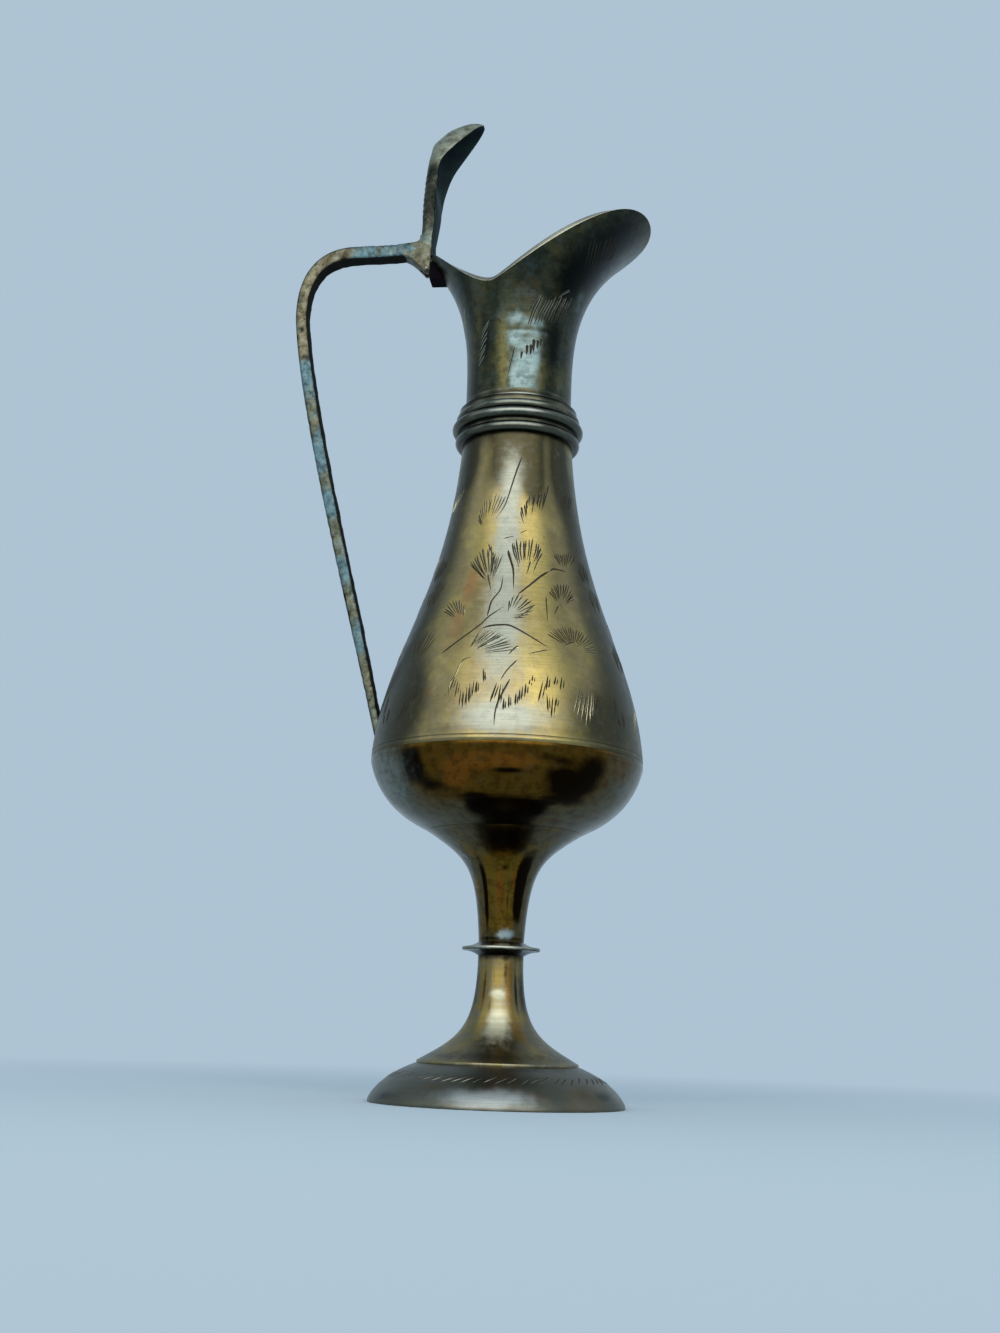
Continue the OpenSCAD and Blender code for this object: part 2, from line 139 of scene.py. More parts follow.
def bulge(a: Point, b: Point, rise: float, steps: int = 16) -> list[Point]:
    """Gives a round bead from a up to b.

    Args:
        a: Foot of the bead.
        b: Top of the bead.
        rise: How far it stands out.
        steps: Number of straight pieces.

    Returns:
        The bead's points.
    """
    chord = math.dist(a, b)
    dx, dz = (b[0] - a[0]) / chord, (b[1] - a[1]) / chord
    r = (chord * chord / 4 + rise * rise) / (2 * rise)
    half = math.asin(min(1.0, chord / 2 / r))
    half = half if rise < chord / 2 else math.pi - half
    cx = (a[0] + b[0]) / 2 + (rise - r) * dz
    cz = (a[1] + b[1]) / 2 - (rise - r) * dx
    made = []
    for i in range(steps + 1):
        t = half * (2 * i / steps - 1)
        u, v = math.cos(t), math.sin(t)
        made.append((cx + r * (u * dz + v * dx), cz + r * (-u * dx + v * dz)))
    return made


def between(table: Sequence[Point], x: float) -> float:
    """Reads a table, with straight lines between its entries.

    Args:
        table: Pairs of numbers, with rising first ones.
        x: First number to look up.

    Returns:
        The second number there.
    """
    if x <= table[0][0]:
        return table[0][1]
    if x >= table[-1][0]:
        return table[-1][1]
    i = bisect_left(table, (x,))
    (a, u), (b, v) = table[i - 1], table[i]
    return u + (v - u) * (x - a) / ((b - a) or 1)


def flowing(places: Sequence[Point]) -> list[Point]:
    """Draws a smooth line through three or more places, or a straight one through two.

    Args:
        places: Places to pass.

    Returns:
        The line's points, five pieces between two places.
    """
    if len(places) < 3:
        return list(places)
    wide = [places[0], *places, places[-1]]
    made = [places[0]]
    for a, b, c, d in zip(wide, wide[1:], wide[2:], wide[3:]):
        p = tuple(b[n] + (c[n] - a[n]) / 6 for n in (0, 1))
        q = tuple(c[n] - (d[n] - b[n]) / 6 for n in (0, 1))
        made += cubic(b, p, q, c, 5)[1:]
    return made


# Finishes


def linear(code: str) -> tuple[float, ...]:
    """Turns an sRGB hex value into a linear colour with its alpha."""
    parts = [int(code[i : i + 2], 16) / 255 for i in (1, 3, 5)]
    return *(c / 12.92 if c <= 0.04045 else ((c + 0.055) / 1.055) ** 2.4 for c in parts), 1.0


def fill(node: bpy.types.Node, inputs: dict[str | int, object]) -> bpy.types.Node:
    """Sets or links a node's inputs.

    Args:
        node: The node.
        inputs: For each input, by name or number, its value, or the node or socket to link.

    Returns:
        The same node.
    """
    for key, value in inputs.items():
        if isinstance(value, bpy.types.Node):
            value = value.outputs[0]
        if isinstance(value, bpy.types.NodeSocket):
            node.id_data.links.new(value, node.inputs[key])
        else:
            node.inputs[key].default_value = value
    return node


def add(tree: bpy.types.NodeTree, kind: str, inputs: dict[str | int, object] | None = None,
        **settings: object) -> bpy.types.Node:
    """Adds a node with its settings and links.

    Args:
        tree: Tree to add to.
        kind: Blender's name for the shader node.
        inputs: What fill sets or links.
        settings: Properties of the node.

    Returns:
        The new node.
    """
    made = tree.nodes.new("ShaderNode" + kind)
    for key, value in settings.items():
        setattr(made, key, value)
    return fill(made, inputs or {})


@dataclass(frozen=True)
class Finish:
    """A finish for one material."""

    name: str

    def dress(self, node: Nodes, spot: bpy.types.NodeSocket) -> dict[str, object]:
        """Adds the nodes.

        Args:
            node: Adds a node to the material.
            spot: Object coordinates.

        Returns:
            What goes into the shader's inputs.
        """
        raise NotImplementedError

    def material(self) -> bpy.types.Material:
        """Builds the material on Object coordinates.

        Returns:
            The new material.
        """
        made = bpy.data.materials.new(self.name)
        made.use_nodes = True
        node = partial(add, made.node_tree)
        inputs = self.dress(node, node("TexCoord").outputs["Object"])
        fill(made.node_tree.nodes["Principled BSDF"], inputs)
        return made


@dataclass(frozen=True)
class Brass(Finish):
    """Old brass: worn metal under a thin olive tarnish, with stains, painted highlights, painted
    reflections and painted shade, and fine tool marks.
    """

    tarnish: str  # colour of the thin tarnish over most of the metal
    gold_and_reflection: str  # where it is rubbed clean, and the painted gold reflections
    dark_and_shade: str  # heavy tarnish, and the painted shade
    pale_and_highlight: str  # whitish or blue-green bloom, and the painted highlights
    warm_and_reflection: str = "#c98a4c"  # coppery patches, and the painted warm reflections
    roughness: Point = (0.24, 0.42)  # least and greatest
    # Distance between turning marks, or 0 for a cast surface. Real ones lie about 0.1 mm apart.
    # They are drawn three to five times as coarse, or they wouldn't show.
    turning: float = 0.35
    marks: float = 0.012  # depth of the tool marks or of the cast grain
    patch: float = 9.0  # size of the patches of tarnish
    wear: float = 0.4  # share rubbed towards gold
    grime: float = 0.25  # share of small dark specks
    soft: float = 0.85  # width of the step at a stain's edge
    pit: float = 0.5  # size of the specks
    mottle: float = 0.0  # share of small blotches of heavy tarnish
    bloom: str = "#7b8680"  # colour of the small pale blotches between them

    def dress(self, node: Nodes, spot: bpy.types.NodeSocket) -> dict[str, object]:
        """Lays the colours over the tarnish one by one, each through its share.

        Args:
            node: Adds a node to the material.
            spot: Object coordinates.

        Returns:
            What goes into the shader's inputs.
        """
        # Clouds: broad patches, ragged edges, specks, turning marks or cast grain, two blotches
        masks = node("Attribute", attribute_name=MASK_ATTRIBUTE, attribute_type="GEOMETRY")
        red, green, blue = node("SeparateColor", {"Color": masks}).outputs
        lathe = spot
        if self.turning:
            lathe = node("Mapping", {"Vector": spot, "Scale": (0.03, 0.03, 1)})
        sizes = [(spot, self.patch, 3), (spot, self.patch * 0.28, 5), (spot, self.pit, 3),
                 (lathe, self.turning or 0.7, 2 if self.turning else 4)]
        if self.mottle:
            sizes += [(spot, 1.7, 5), (spot, 2.3, 6)]
        broad, ragged, specks, rings, *blotches = (
            node("TexNoise", {"Vector": where, "Scale": 1 / (size * MM), "Detail": detail,
                              "Roughness": 0.6})
            for where, size, detail in sizes
        )

        # Colours with ragged edges: gold where it is rubbed, then one for each of the four masks
        # (cloud, its depth, what it is added to, start and end of the step, colour)
        rubbed = 0.3 * self.wear
        edges = [(rings, 0.35, broad, 0.72 - rubbed, 1 - rubbed, self.gold_and_reflection)]
        # The four masks hold painted highlights, painted reflections and painted shade as well as
        # stains
        for depth, mask, over in ((0.5, red, self.gold_and_reflection), (0.8, green, self.warm_and_reflection),
                                  (0.6, blue, self.dark_and_shade), (0.9, masks.outputs["Alpha"], self.pale_and_highlight)):
            edges.append((ragged, depth, mask, 0.5 + (depth - self.soft) / 2,
                          0.5 + (depth + self.soft) / 2, over))
        layers = []
        for cloud, depth, under, low, high, over in edges:
            height = node("Math", {0: cloud, 1: depth, 2: under}, operation="MULTIPLY_ADD")
            layers.append((node("MapRange", {"Value": height, "From Min": low, "From Max": high},
                                interpolation_type="SMOOTHSTEP"), over))
        # Shares of the dark mask, with its painted shade, and of the pale mask, with its painted
        # highlights
        dark_and_shade_share, bloom = layers[3][0], layers[4][0]

        # Small marks: dirt, streaks and blotches (cloud, start and end of the step, what holds it
        # back, its greatest share, colour)
        small = [(specks, 0.62, 0.72, ragged, 2 * self.grime, self.dark_and_shade),
                 (rings, 0.3, 0.7, broad, 0.28, self.dark_and_shade)]
        if self.mottle:
            clean = node("Math", {0: 1.0, 1: dark_and_shade_share}, operation="SUBTRACT")
            small += [(blotches[0], 0.44, 0.64, 1.0, self.mottle, self.dark_and_shade),
                      (blotches[1], 0.5, 0.7, clean, 0.7 * self.mottle, self.bloom)]
        for cloud, low, high, held, most, over in small:
            share = node("MapRange", {"Value": cloud, "From Min": low, "From Max": high,
                                      "To Max": most}, interpolation_type="SMOOTHSTEP")
            layers.append((node("Math", {0: share, 1: held}, operation="MULTIPLY"), over))

        colour = linear(self.tarnish)
        for share, over in layers:
            colour = node("Mix", {0: share, 6: colour, 7: linear(over)},
                          data_type="RGBA").outputs[2]
        grain = node("Mix", {0: 0.7, 2: rings, 3: ragged})
        rough = node("MapRange", {"Value": grain, "From Min": 0.3, "From Max": 0.7,
                                  "To Min": self.roughness[0], "To Max": self.roughness[1]})
        rough = node("Math", {0: bloom, 1: 0.12, 2: rough}, operation="MULTIPLY_ADD")
        height = node("Math", {0: ragged, 1: 0.25, 2: rings}, operation="MULTIPLY_ADD")
        bump = node("Bump", {"Height": height, "Distance": self.marks * MM, "Strength": 1.0})
        return {"Base Color": colour, "Roughness": rough, "Normal": bump, "Metallic": 1.0}


@dataclass(frozen=True)
class Plain(Finish):
    """A small or hidden metal part: one metal, faintly mottled."""

    colour: str
    shadow: str  # colour of the mottling
    metallic: float = 1.0
    roughness: float = 0.4
    grain: float = 1.2  # size of the mottling
    gloss: float = 0.5  # reflection of what isn't metal

    def dress(self, node: Nodes, spot: bpy.types.NodeSocket) -> dict[str, object]:
        """Adds the mottling and its bump.

        Args:
            node: Adds a node to the material.
            spot: Object coordinates.

        Returns:
            What goes into the shader's inputs.
        """
        mottle = node("TexNoise", {"Vector": spot, "Scale": 1 / (self.grain * MM), "Detail": 4.0})
        colour = node("Mix", {0: mottle, 6: linear(self.colour), 7: linear(self.shadow)},
                      data_type="RGBA").outputs[2]
        bump = node("Bump", {"Height": mottle, "Distance": 0.02 * MM})
        return {"Base Color": colour, "Normal": bump, "Metallic": self.metallic,
                "Specular IOR Level": self.gloss, "Roughness": self.roughness}


# Spun brass that was left to dull: an even grey, which glints along its edge, with a painted
# highlight across its front
SKIRT_BRASS = Brass(
    "dulled_brass_skirt_painted_highlight", "#5d5c51", "#6f6551", "#25231d", "#a3a8a6", "#5f4c34", (0.3, 0.46),
    turning=0.3, patch=14, wear=0.25, grime=0.3)
# Spun brass, rubbed where the hand holds it: soft gold bands between brown streaks, with a painted
# highlight down its front and painted shade at its sides
TRUMPET_BRASS = Brass(
    "worn_brass_trumpet_painted_light", "#706852", "#8c7842", "#29231a", "#bab69d", "#7b5e30", (0.3, 0.46),
    turning=0.5, patch=5, wear=0.45)
# Turned brass under heavy tarnish: nearly black, with painted shade on its underside and a painted
# line of light on its upper edge
DARK_BRASS = Brass("dark_brass_disc_painted_light", "#3c3a2c", "#5f5a3c", "#0f0e0a", "#9a9b90",
                   roughness=(0.18, 0.3))
# Burnished brass: deep brown and glossy, with a painted reflection at its front, gold and coppery
# patches ringed by dark
BOWL_BRASS = Brass(
    "brass_bowl_painted_reflection", "#5b5138", "#5c4114", "#140c04", "#6d7268", "#7d4c18", (0.15, 0.27),
    turning=0.5, marks=0.006, patch=8, wear=0.15, grime=0.4, soft=0.75, mottle=0.42,
    bloom="#5d5130")
# The same gloss on a narrow funnel, with a reflection painted as amber and black streaks and a T of
# gold
FUNNEL_BRASS = replace(BOWL_BRASS, name="brass_funnel_painted_reflection", gold_and_reflection="#74571d", warm_and_reflection="#8a4f1a",
                       wear=0.3, pale_and_highlight="#9aa6a4", patch=5)
# Brass rubbed with grit along the lathe: straw gold, with fine rings that spread the light; a
# painted highlight runs down its front between painted gold reflections, with painted shade at its
# sides and top
SHOULDER_BRASS = Brass(
    "satin_brass_shoulder_painted_light", "#8c7c56", "#ab985c", "#3c3827", "#9fa092", "#a97f50", (0.28, 0.42),
    turning=0.32, marks=0.02, patch=7, grime=0.45, soft=1.1, mottle=0.12, bloom="#a9a58e")
# Turned beads: black in the grooves, with painted shade under the lower bead and a painted
# highlight in grey on their crests at the front
COLLAR_BRASS = Brass(
    "dark_brass_collar_painted_light", "#4d4e43", "#686550", "#0f0d0b", "#8d928a", roughness=(0.2, 0.32),
    turning=0.25, marks=0.006, wear=0.3)
# Spun brass under green-grey tarnish: dark olive, with a painted blue-grey highlight on the neck
# and a painted reflection on the flare
MOUTH_BRASS = Brass(
    "olive_brass_mouth_painted_light", "#353a2f", "#545033", "#111513", "#788a8a", "#4a3a24", (0.24, 0.38),
    turning=0.4, patch=6, wear=0.35, mottle=0.42, bloom="#4c5a5c")
# The sheet's filed edge: a pale line round the mouth
RIM = Plain("pale_brass_rim", "#b0ae9f", "#88836f", grain=1.5)
# Sand-cast brass: rough and matt, sooty in its pits, with patches of blue-green
HANDLE_BRASS = Brass(
    "cast_brass_handle", "#4a5147", "#716e5a", "#0b1010", "#627c83", "#685f49", (0.36, 0.58),
    turning=0.0, marks=0.06, patch=5, grime=0.9, pit=0.8, mottle=0.5, bloom="#868d84")
# The same casting at the leaf's back: pale sage, partly rubbed by the thumb and partly a painted
# highlight on its upper part
LEAF_BRASS = replace(HANDLE_BRASS, name="rubbed_brass_leaf_painted_highlight", gold_and_reflection="#9c9c85", bloom="#a9ad9c",
                     grime=0.6)
# Painted shade on the casting's underside and on its side towards the ewer: black, with hardly a
# shine
UNDERSIDE_SHADE = Plain("casting_underside_painted_shade", "#131110", "#262522", 0.0, 0.8, 1.5, 0.03)
# The leaf's hollow: a deep green-black
HOLLOW = Plain("dark_leaf_hollow", "#243c3a", "#1b1220", 0.1, 0.62, 2.6, 0.08)
# Solder painted near-black for the shadow in the gap behind the mouth: it reads as a notch there
SHADOWED_LUG = Plain("lug_painted_shadow", "#080507", "#150f17", 0.0, 0.9, 0.8, 0.05)
# Peened brass: two small dull buttons
RIVET = Plain("rubbed_rivet", "#8a8675", "#4a443a", roughness=0.38, grain=0.5)
# Plain turned steel, grey and out of sight
STEEL = Plain("plain_steel", "#8f9193", "#6f7072", roughness=0.35, grain=1.5)
# A graver's cut, filled with old polish: a dark line
GROOVE = Plain("dark_groove", "#1e1a10", "#332c1b", 0.3, 0.55, 0.6, 0.2)
# Metal thrown up beside the cut, with a painted highlight on its lit side: a thin bright line,
# duller where the shell is duller
BURR = Plain("burr_painted_highlight", "#c2bba0", "#8f8564", roughness=0.26, grain=0.8)
SKIRT_BURR = replace(BURR, name="dull_burr_painted_highlight", colour="#85837a", shadow="#5c5a50")
NECK_BURR = replace(BURR, name="tarnished_burr_painted_highlight", colour="#b4b6a9", shadow="#7a7a6a")


# Meshes


def finished(bm: Mesh, name: str, *finishes: Finish) -> bpy.types.Object:
    """Turns a mesh in millimetres into an object in metres, shaded smooth, with its finishes.

    Args:
        bm: The mesh, which is freed.
        name: Name of the piece.
        finishes: Finishes, in slot order.

    Returns:
        The new object, riding on the root body.
    """
    for edge in bm.edges:
        edge.smooth = len(edge.link_faces) != 2 or edge.calc_face_angle(0) < SMOOTH
    for face in bm.faces:
        face.smooth = True
    bmesh.ops.scale(bm, vec=(MM, MM, MM), verts=bm.verts)
    mesh = bpy.data.meshes.new(name)
    bm.to_mesh(mesh)
    bm.free()
    piece = bpy.data.objects.new(name, mesh)
    bpy.context.scene.collection.objects.link(piece)
    for finish in finishes:
        mesh.materials.append(finish.material())
    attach(piece, "root")
    log.info("%s: %d faces", name, len(mesh.polygons))
    return piece


def turned(outline: Sequence[Point]) -> Mesh:
    """Spins a closed outline round the axis.

    Args:
        outline: Radius and height of each corner, in order.

    Returns:
        The closed shell.
    """
    bm = bmesh.new()
    verts = [bm.verts.new((r, 0, z)) for r, z in outline]
    edges = [bm.edges.new((verts[i - 1], verts[i])) for i in range(len(verts))]
    bmesh.ops.spin(bm, geom=verts + edges, cent=(0, 0, 0), axis=(0, 0, 1), angle=math.tau,
                   steps=ROUND, use_merge=True)
    bmesh.ops.remove_doubles(bm, verts=bm.verts, dist=MERGE)
    bmesh.ops.recalc_face_normals(bm, faces=bm.faces)
    return bm


def draped(bm: Mesh, columns: int, rows: int, place: Place,
           shade: Callable[[float, float], Sequence[float]] | None = None,
           finish: Callable[[float, float], int] | None = None) -> list[bmesh.types.BMVert]:
    """Adds a grid and puts each of its corners where place says.

    Args:
        bm: Mesh to add to.
        columns: Faces along the first share.
        rows: Faces along the second share.
        place: Position for two shares from 0 to 1.
        shade: The four masks for two shares.
        finish: Number of the finish for two shares, the first where it isn't given.

    Returns:
        The grid's new corners.
    """
    layer = mask_layer(bm) if shade else None
    made = bmesh.ops.create_grid(bm, x_segments=columns, y_segments=rows, size=0.5)["verts"]
    if finish:
        for face in {face for vert in made for face in vert.link_faces}:
            middle = face.calc_center_median()
            face.material_index = finish(middle.x + 0.5, middle.y + 0.5)
    for vert in made:
        u, v = vert.co.x + 0.5, vert.co.y + 0.5
        vert.co = place(u, v)
        if shade:
            vert[layer] = shade(u, v)
    return made


# Stains, painted highlights, painted reflections and painted shade, as four masks that the finishes
# read


class Mask(Enum):
    """Which mask a patch goes into: stains, and painted highlights, painted reflections and painted
    shade.
    """

    GOLD_AND_REFLECTION = 0
    WARM_AND_REFLECTION = 1
    DARK_AND_SHADE = 2
    PALE_AND_HIGHLIGHT = 3


@dataclass(frozen=True)
class SoftPatch:
    """A soft patch on a turned surface: a stain, a painted highlight, a painted reflection or
    painted shade.
    """

    azimuth: float  # of its middle
    height: float  # of its middle
    width: float  # half its width, in degrees
    rise: float  # half its height
    strength: float  # its share at the middle
    square: float = 1.0  # 1 for a round stain, more for one that fills its corners

    def share(self, azimuth: float, height: float) -> float:
        """Gives the patch's share at a place on the surface.

        Args:
            azimuth: Azimuth of the place.
            height: Height of the place.

        Returns:
            Its share there.
        """
        off = (azimuth - self.azimuth + 180) % 360 - 180
        reach = abs(off / self.width) ** (2 * self.square)
        reach += abs((height - self.height) / self.rise) ** (2 * self.square)
        return self.strength * math.exp(-1.4 * reach)


def mask_layer(bm: Mesh) -> bmesh.types.BMLayerItem:
    """Gives the layer that holds the four masks."""
    return bm.verts.layers.float_color.get(MASK_ATTRIBUTE) or bm.verts.layers.float_color.new(MASK_ATTRIBUTE)


def paint(bm: Mesh, shade: Shade) -> None:
    """Writes the four masks on every corner.

    Args:
        bm: Mesh to paint, in millimetres.
        shade: Four shares for a position.
    """
    layer = mask_layer(bm)
    for vert in bm.verts:
        vert[layer] = [min(max(v, 0.0), 1.0) for v in shade(vert.co)]


def patched(marks: dict[Mask, Sequence[tuple[float, ...]]]) -> Shade:
    """Gives a shade of stains and painted light for a turned surface.

    Args:
        marks: What makes each patch, in its fields' order, by mask.

    Returns:
        The shade, for paint.
    """
    soft_patches = [(mask.value, SoftPatch(*row)) for mask, rows in marks.items() for row in rows]

    def shade(co: Vector) -> list[float]:
        """Adds up the patches.

        Args:
            co: Position.

        Returns:
            The four shares there.
        """
        azimuth = math.degrees(math.atan2(co.x, -co.y))
        shares = [0.0] * 4
        for mask, stains_and_painted_light in soft_patches:
            shares[mask] += stains_and_painted_light.share(azimuth, co.z)
        return shares

    return shade


# Strokes of the graver


@dataclass(frozen=True)
class Fan:
    """A leaf of strokes that spread from one focus."""

    azimuth: float  # of the focus
    height: float  # of the focus
    tips: tuple[Point, ...]  # direction in degrees and distance of the strokes' heads
    near: float  # distance of their ends, as a share of the heads'
    strokes: int
    width: float = 0.4  # of a stroke at its head
    bright: bool = True  # whether the burr catches the light


@dataclass(frozen=True)
class Rake:
    """A row of strokes side by side."""

    first: Point  # azimuth and height of the first stroke's end
    last: Point  # the same for the last stroke
    lean: Point  # degrees that the first and the last stroke's head lies further
    rise: Point  # millimetres that their heads lie higher
    strokes: int
    width: float  # of a stroke at its head


@dataclass(frozen=True)
class Cut:
    """One long stroke."""

    places: tuple[Point, ...]  # azimuth and height of the places that it passes, head first
    width: float  # at its head
    tail: float  # width at its end, as a share of the head's
    bright: bool = True  # whether its burr catches the light


# Share of the half width and of the lift at each corner across a stroke: a dark groove with a low
# burr on one side and, on the other, a high burr that takes the painted highlight
SECTION = ((-1.0, -0.2), (-0.84, 0.5), (-0.15, 0.15), (0.46, 1.0), (1.0, -0.2))


@dataclass
class Graver:
    """Cuts strokes into a turned surface, as narrow grooves between two raised burrs."""

    line: Sequence[Point]  # radius and height of the surface, from the bottom up
    lift: float = 0.055  # how far the burrs stand out
    seed: int = 7  # of the hand's unevenness
    heights: list[Point] = field(init=False)
    hand: random.Random = field(init=False)

    def __post_init__(self) -> None:
        """Keeps the outline as a table of radius by height."""
        self.heights = [(z, r) for r, z in self.line]
        self.hand = random.Random(self.seed)

    def on_surface(self, azimuth: float, height: float, out: float) -> Vector:
        """Finds a point off the surface.

        Args:
            azimuth: Azimuth of the point.
            height: Height of the place under it.
            out: Its distance from the surface.

        Returns:
            The point.
        """
        r = between(self.heights, height)
        slope = (between(self.heights, height + 0.2) - between(self.heights, height - 0.2)) / 0.4
        size = math.hypot(1, slope)
        reach, z = r + out / size, height - out * slope / size
        a = math.radians(azimuth)
        return Vector((reach * math.sin(a), -reach * math.cos(a), z))

    def stroke(self, bm: Mesh, places: Sequence[Point], width: float, tail: float,
               steps: int = 5, bright: bool = True) -> None:
        """Adds one stroke.

        Args:
            bm: Mesh to add to.
            places: Azimuth and height of the places that it passes, head first.
            width: Width at its head.
            tail: Width at its end, as a share of the head's.
            steps: Faces along it.
            bright: Whether its burr catches the light.
        """
        lengths = [0.0]
        for (a, z), (b, y) in zip(places, places[1:]):
            r = between(self.heights, (z + y) / 2)
            lengths.append(lengths[-1] + math.hypot(math.radians(b - a) * r, y - z))
        angles, levels = (
            [(s / lengths[-1], p[n]) for s, p in zip(lengths, places)] for n in (0, 1)
        )

        def place(along: float, across: float) -> Vector:
            """Puts a corner of the grid on the surface.

            Args:
                along: Share of the way from head to end.
                across: Share of the way across, from the low burr to the bright one.

            Returns:
                The corner's position.
            """
            a, z = between(angles, along), between(levels, along)
            b, y = between(angles, along + 0.02), between(levels, along + 0.02)
            if along > 0.97:
                b, y = 2 * a - between(angles, along - 0.02), 2 * z - between(levels, along - 0.02)
            r = between(self.heights, z)
            du, dz = math.radians(b - a) * r, y - z
            size = math.hypot(du, dz) or 1
            # The stroke narrows at both ends, which dip just under the surface
            ends = min(1.0, along / 0.12 + 0.25) * min(1.0, (1 - along) / 0.2 + 0.1)
            side, out = SECTION[round(across * 4)]
            if along < 0.01 or along > 0.99:
                out = -0.005
            off = width / 2 * (1 + (tail - 1) * along) * ends * side
            return self.on_surface(a - math.degrees(off * dz / size / r), z + off * du / size,
                                   out * self.lift)

        draped(bm, steps, 4, place, finish=lambda along, across: int(bright and across > 0.75))

    def fan(self, bm: Mesh, leaf: Fan, turn: float) -> None:
        """Adds the strokes of a leaf.

        Args:
            bm: Mesh to add to.
            leaf: The leaf.
            turn: Degrees to add to its azimuth.
        """
        draw = self.hand.uniform
        r = between(self.heights, leaf.height)
        slope = between(self.heights, leaf.height + 0.5) - between(self.heights, leaf.height - 0.5)
        lean = 1 / math.hypot(1, slope)
        table = sorted(leaf.tips)
        for i in range(leaf.strokes):
            degrees = mix(table[0][0], table[-1][0], i / (leaf.strokes - 1)) + draw(-1.5, 1.5)
            far = between(table, degrees) * draw(0.96, 1.04)
            near = far * leaf.near * draw(0.75, 1.3)
            arc = draw(-2.0, 2.0)
            ends = []
            for reach, off in ((far, 0.0), ((far + near) / 2, arc), (near, 0.0)):
                angle = math.radians(degrees + off)
                z = leaf.height + reach * math.sin(angle) * lean
                wide = (between(self.heights, z) + r) / 2
                ends.append(
                    (leaf.azimuth + turn + math.degrees(reach * math.cos(angle) / wide), z))
            self.stroke(bm, ends, leaf.width * draw(0.8, 1.25), 0.3, bright=leaf.bright)

    def rake(self, bm: Mesh, row: Rake, turn: float) -> None:
        """Adds a row of strokes.

        Args:
            bm: Mesh to add to.
            row: The row.
            turn: Degrees to add to its azimuth.
        """
        draw = self.hand.uniform
        for i in range(row.strokes):
            t = i / (row.strokes - 1) + draw(-0.02, 0.02)
            a, z = (mix(*ends, t) for ends in zip(row.first, row.last))
            over, up = mix(*row.lean, t), mix(*row.rise, t) * draw(0.85, 1.1)
            a += turn
            self.stroke(bm, [(a + over, z + up), (a + over * 0.42, z + up * 0.5), (a, z)],
                        row.width * draw(0.8, 1.2), 0.35)

    def cut(self, bm: Mesh, line: Cut, turn: float) -> None:
        """Adds a long stroke.

        Args:
            bm: Mesh to add to.
            line: The stroke.
            turn: Degrees to add to its azimuth.
        """
        places = flowing([(a + turn, z) for a, z in line.places])
        steps = 4 + 3 * (len(line.places) - 1)
        self.stroke(bm, places, line.width, line.tail, steps, line.bright)

    def spray(self, bm: Mesh, turn: float = 0.0, fans: Sequence[Fan] = (),
              cuts: Sequence[Cut] = (), rakes: Sequence[Rake] = ()) -> None:
        """Adds leaves, long strokes and rows, in this order.

        Args:
            bm: Mesh to add to.
            turn: Degrees to add to each azimuth.
            fans: The leaves.
            cuts: The long strokes.
            rakes: The rows.
        """
        for add_one, marks in ((self.fan, fans), (self.cut, cuts), (self.rake, rakes)):
            for mark in marks:
                add_one(bm, mark, turn)


def engraved(bm: Mesh, name: str, burr: Plain) -> None:
    """Finishes a mesh of strokes, dark in the groove and with a painted highlight on one burr.

    Args:
        bm: The mesh, which is freed.
        name: Name of the piece.
        burr: Finish of the burr's painted highlight.
    """
    piece = finished(bm, name, GROOVE, burr)


# Sub-assemblies, with sizes in millimetres


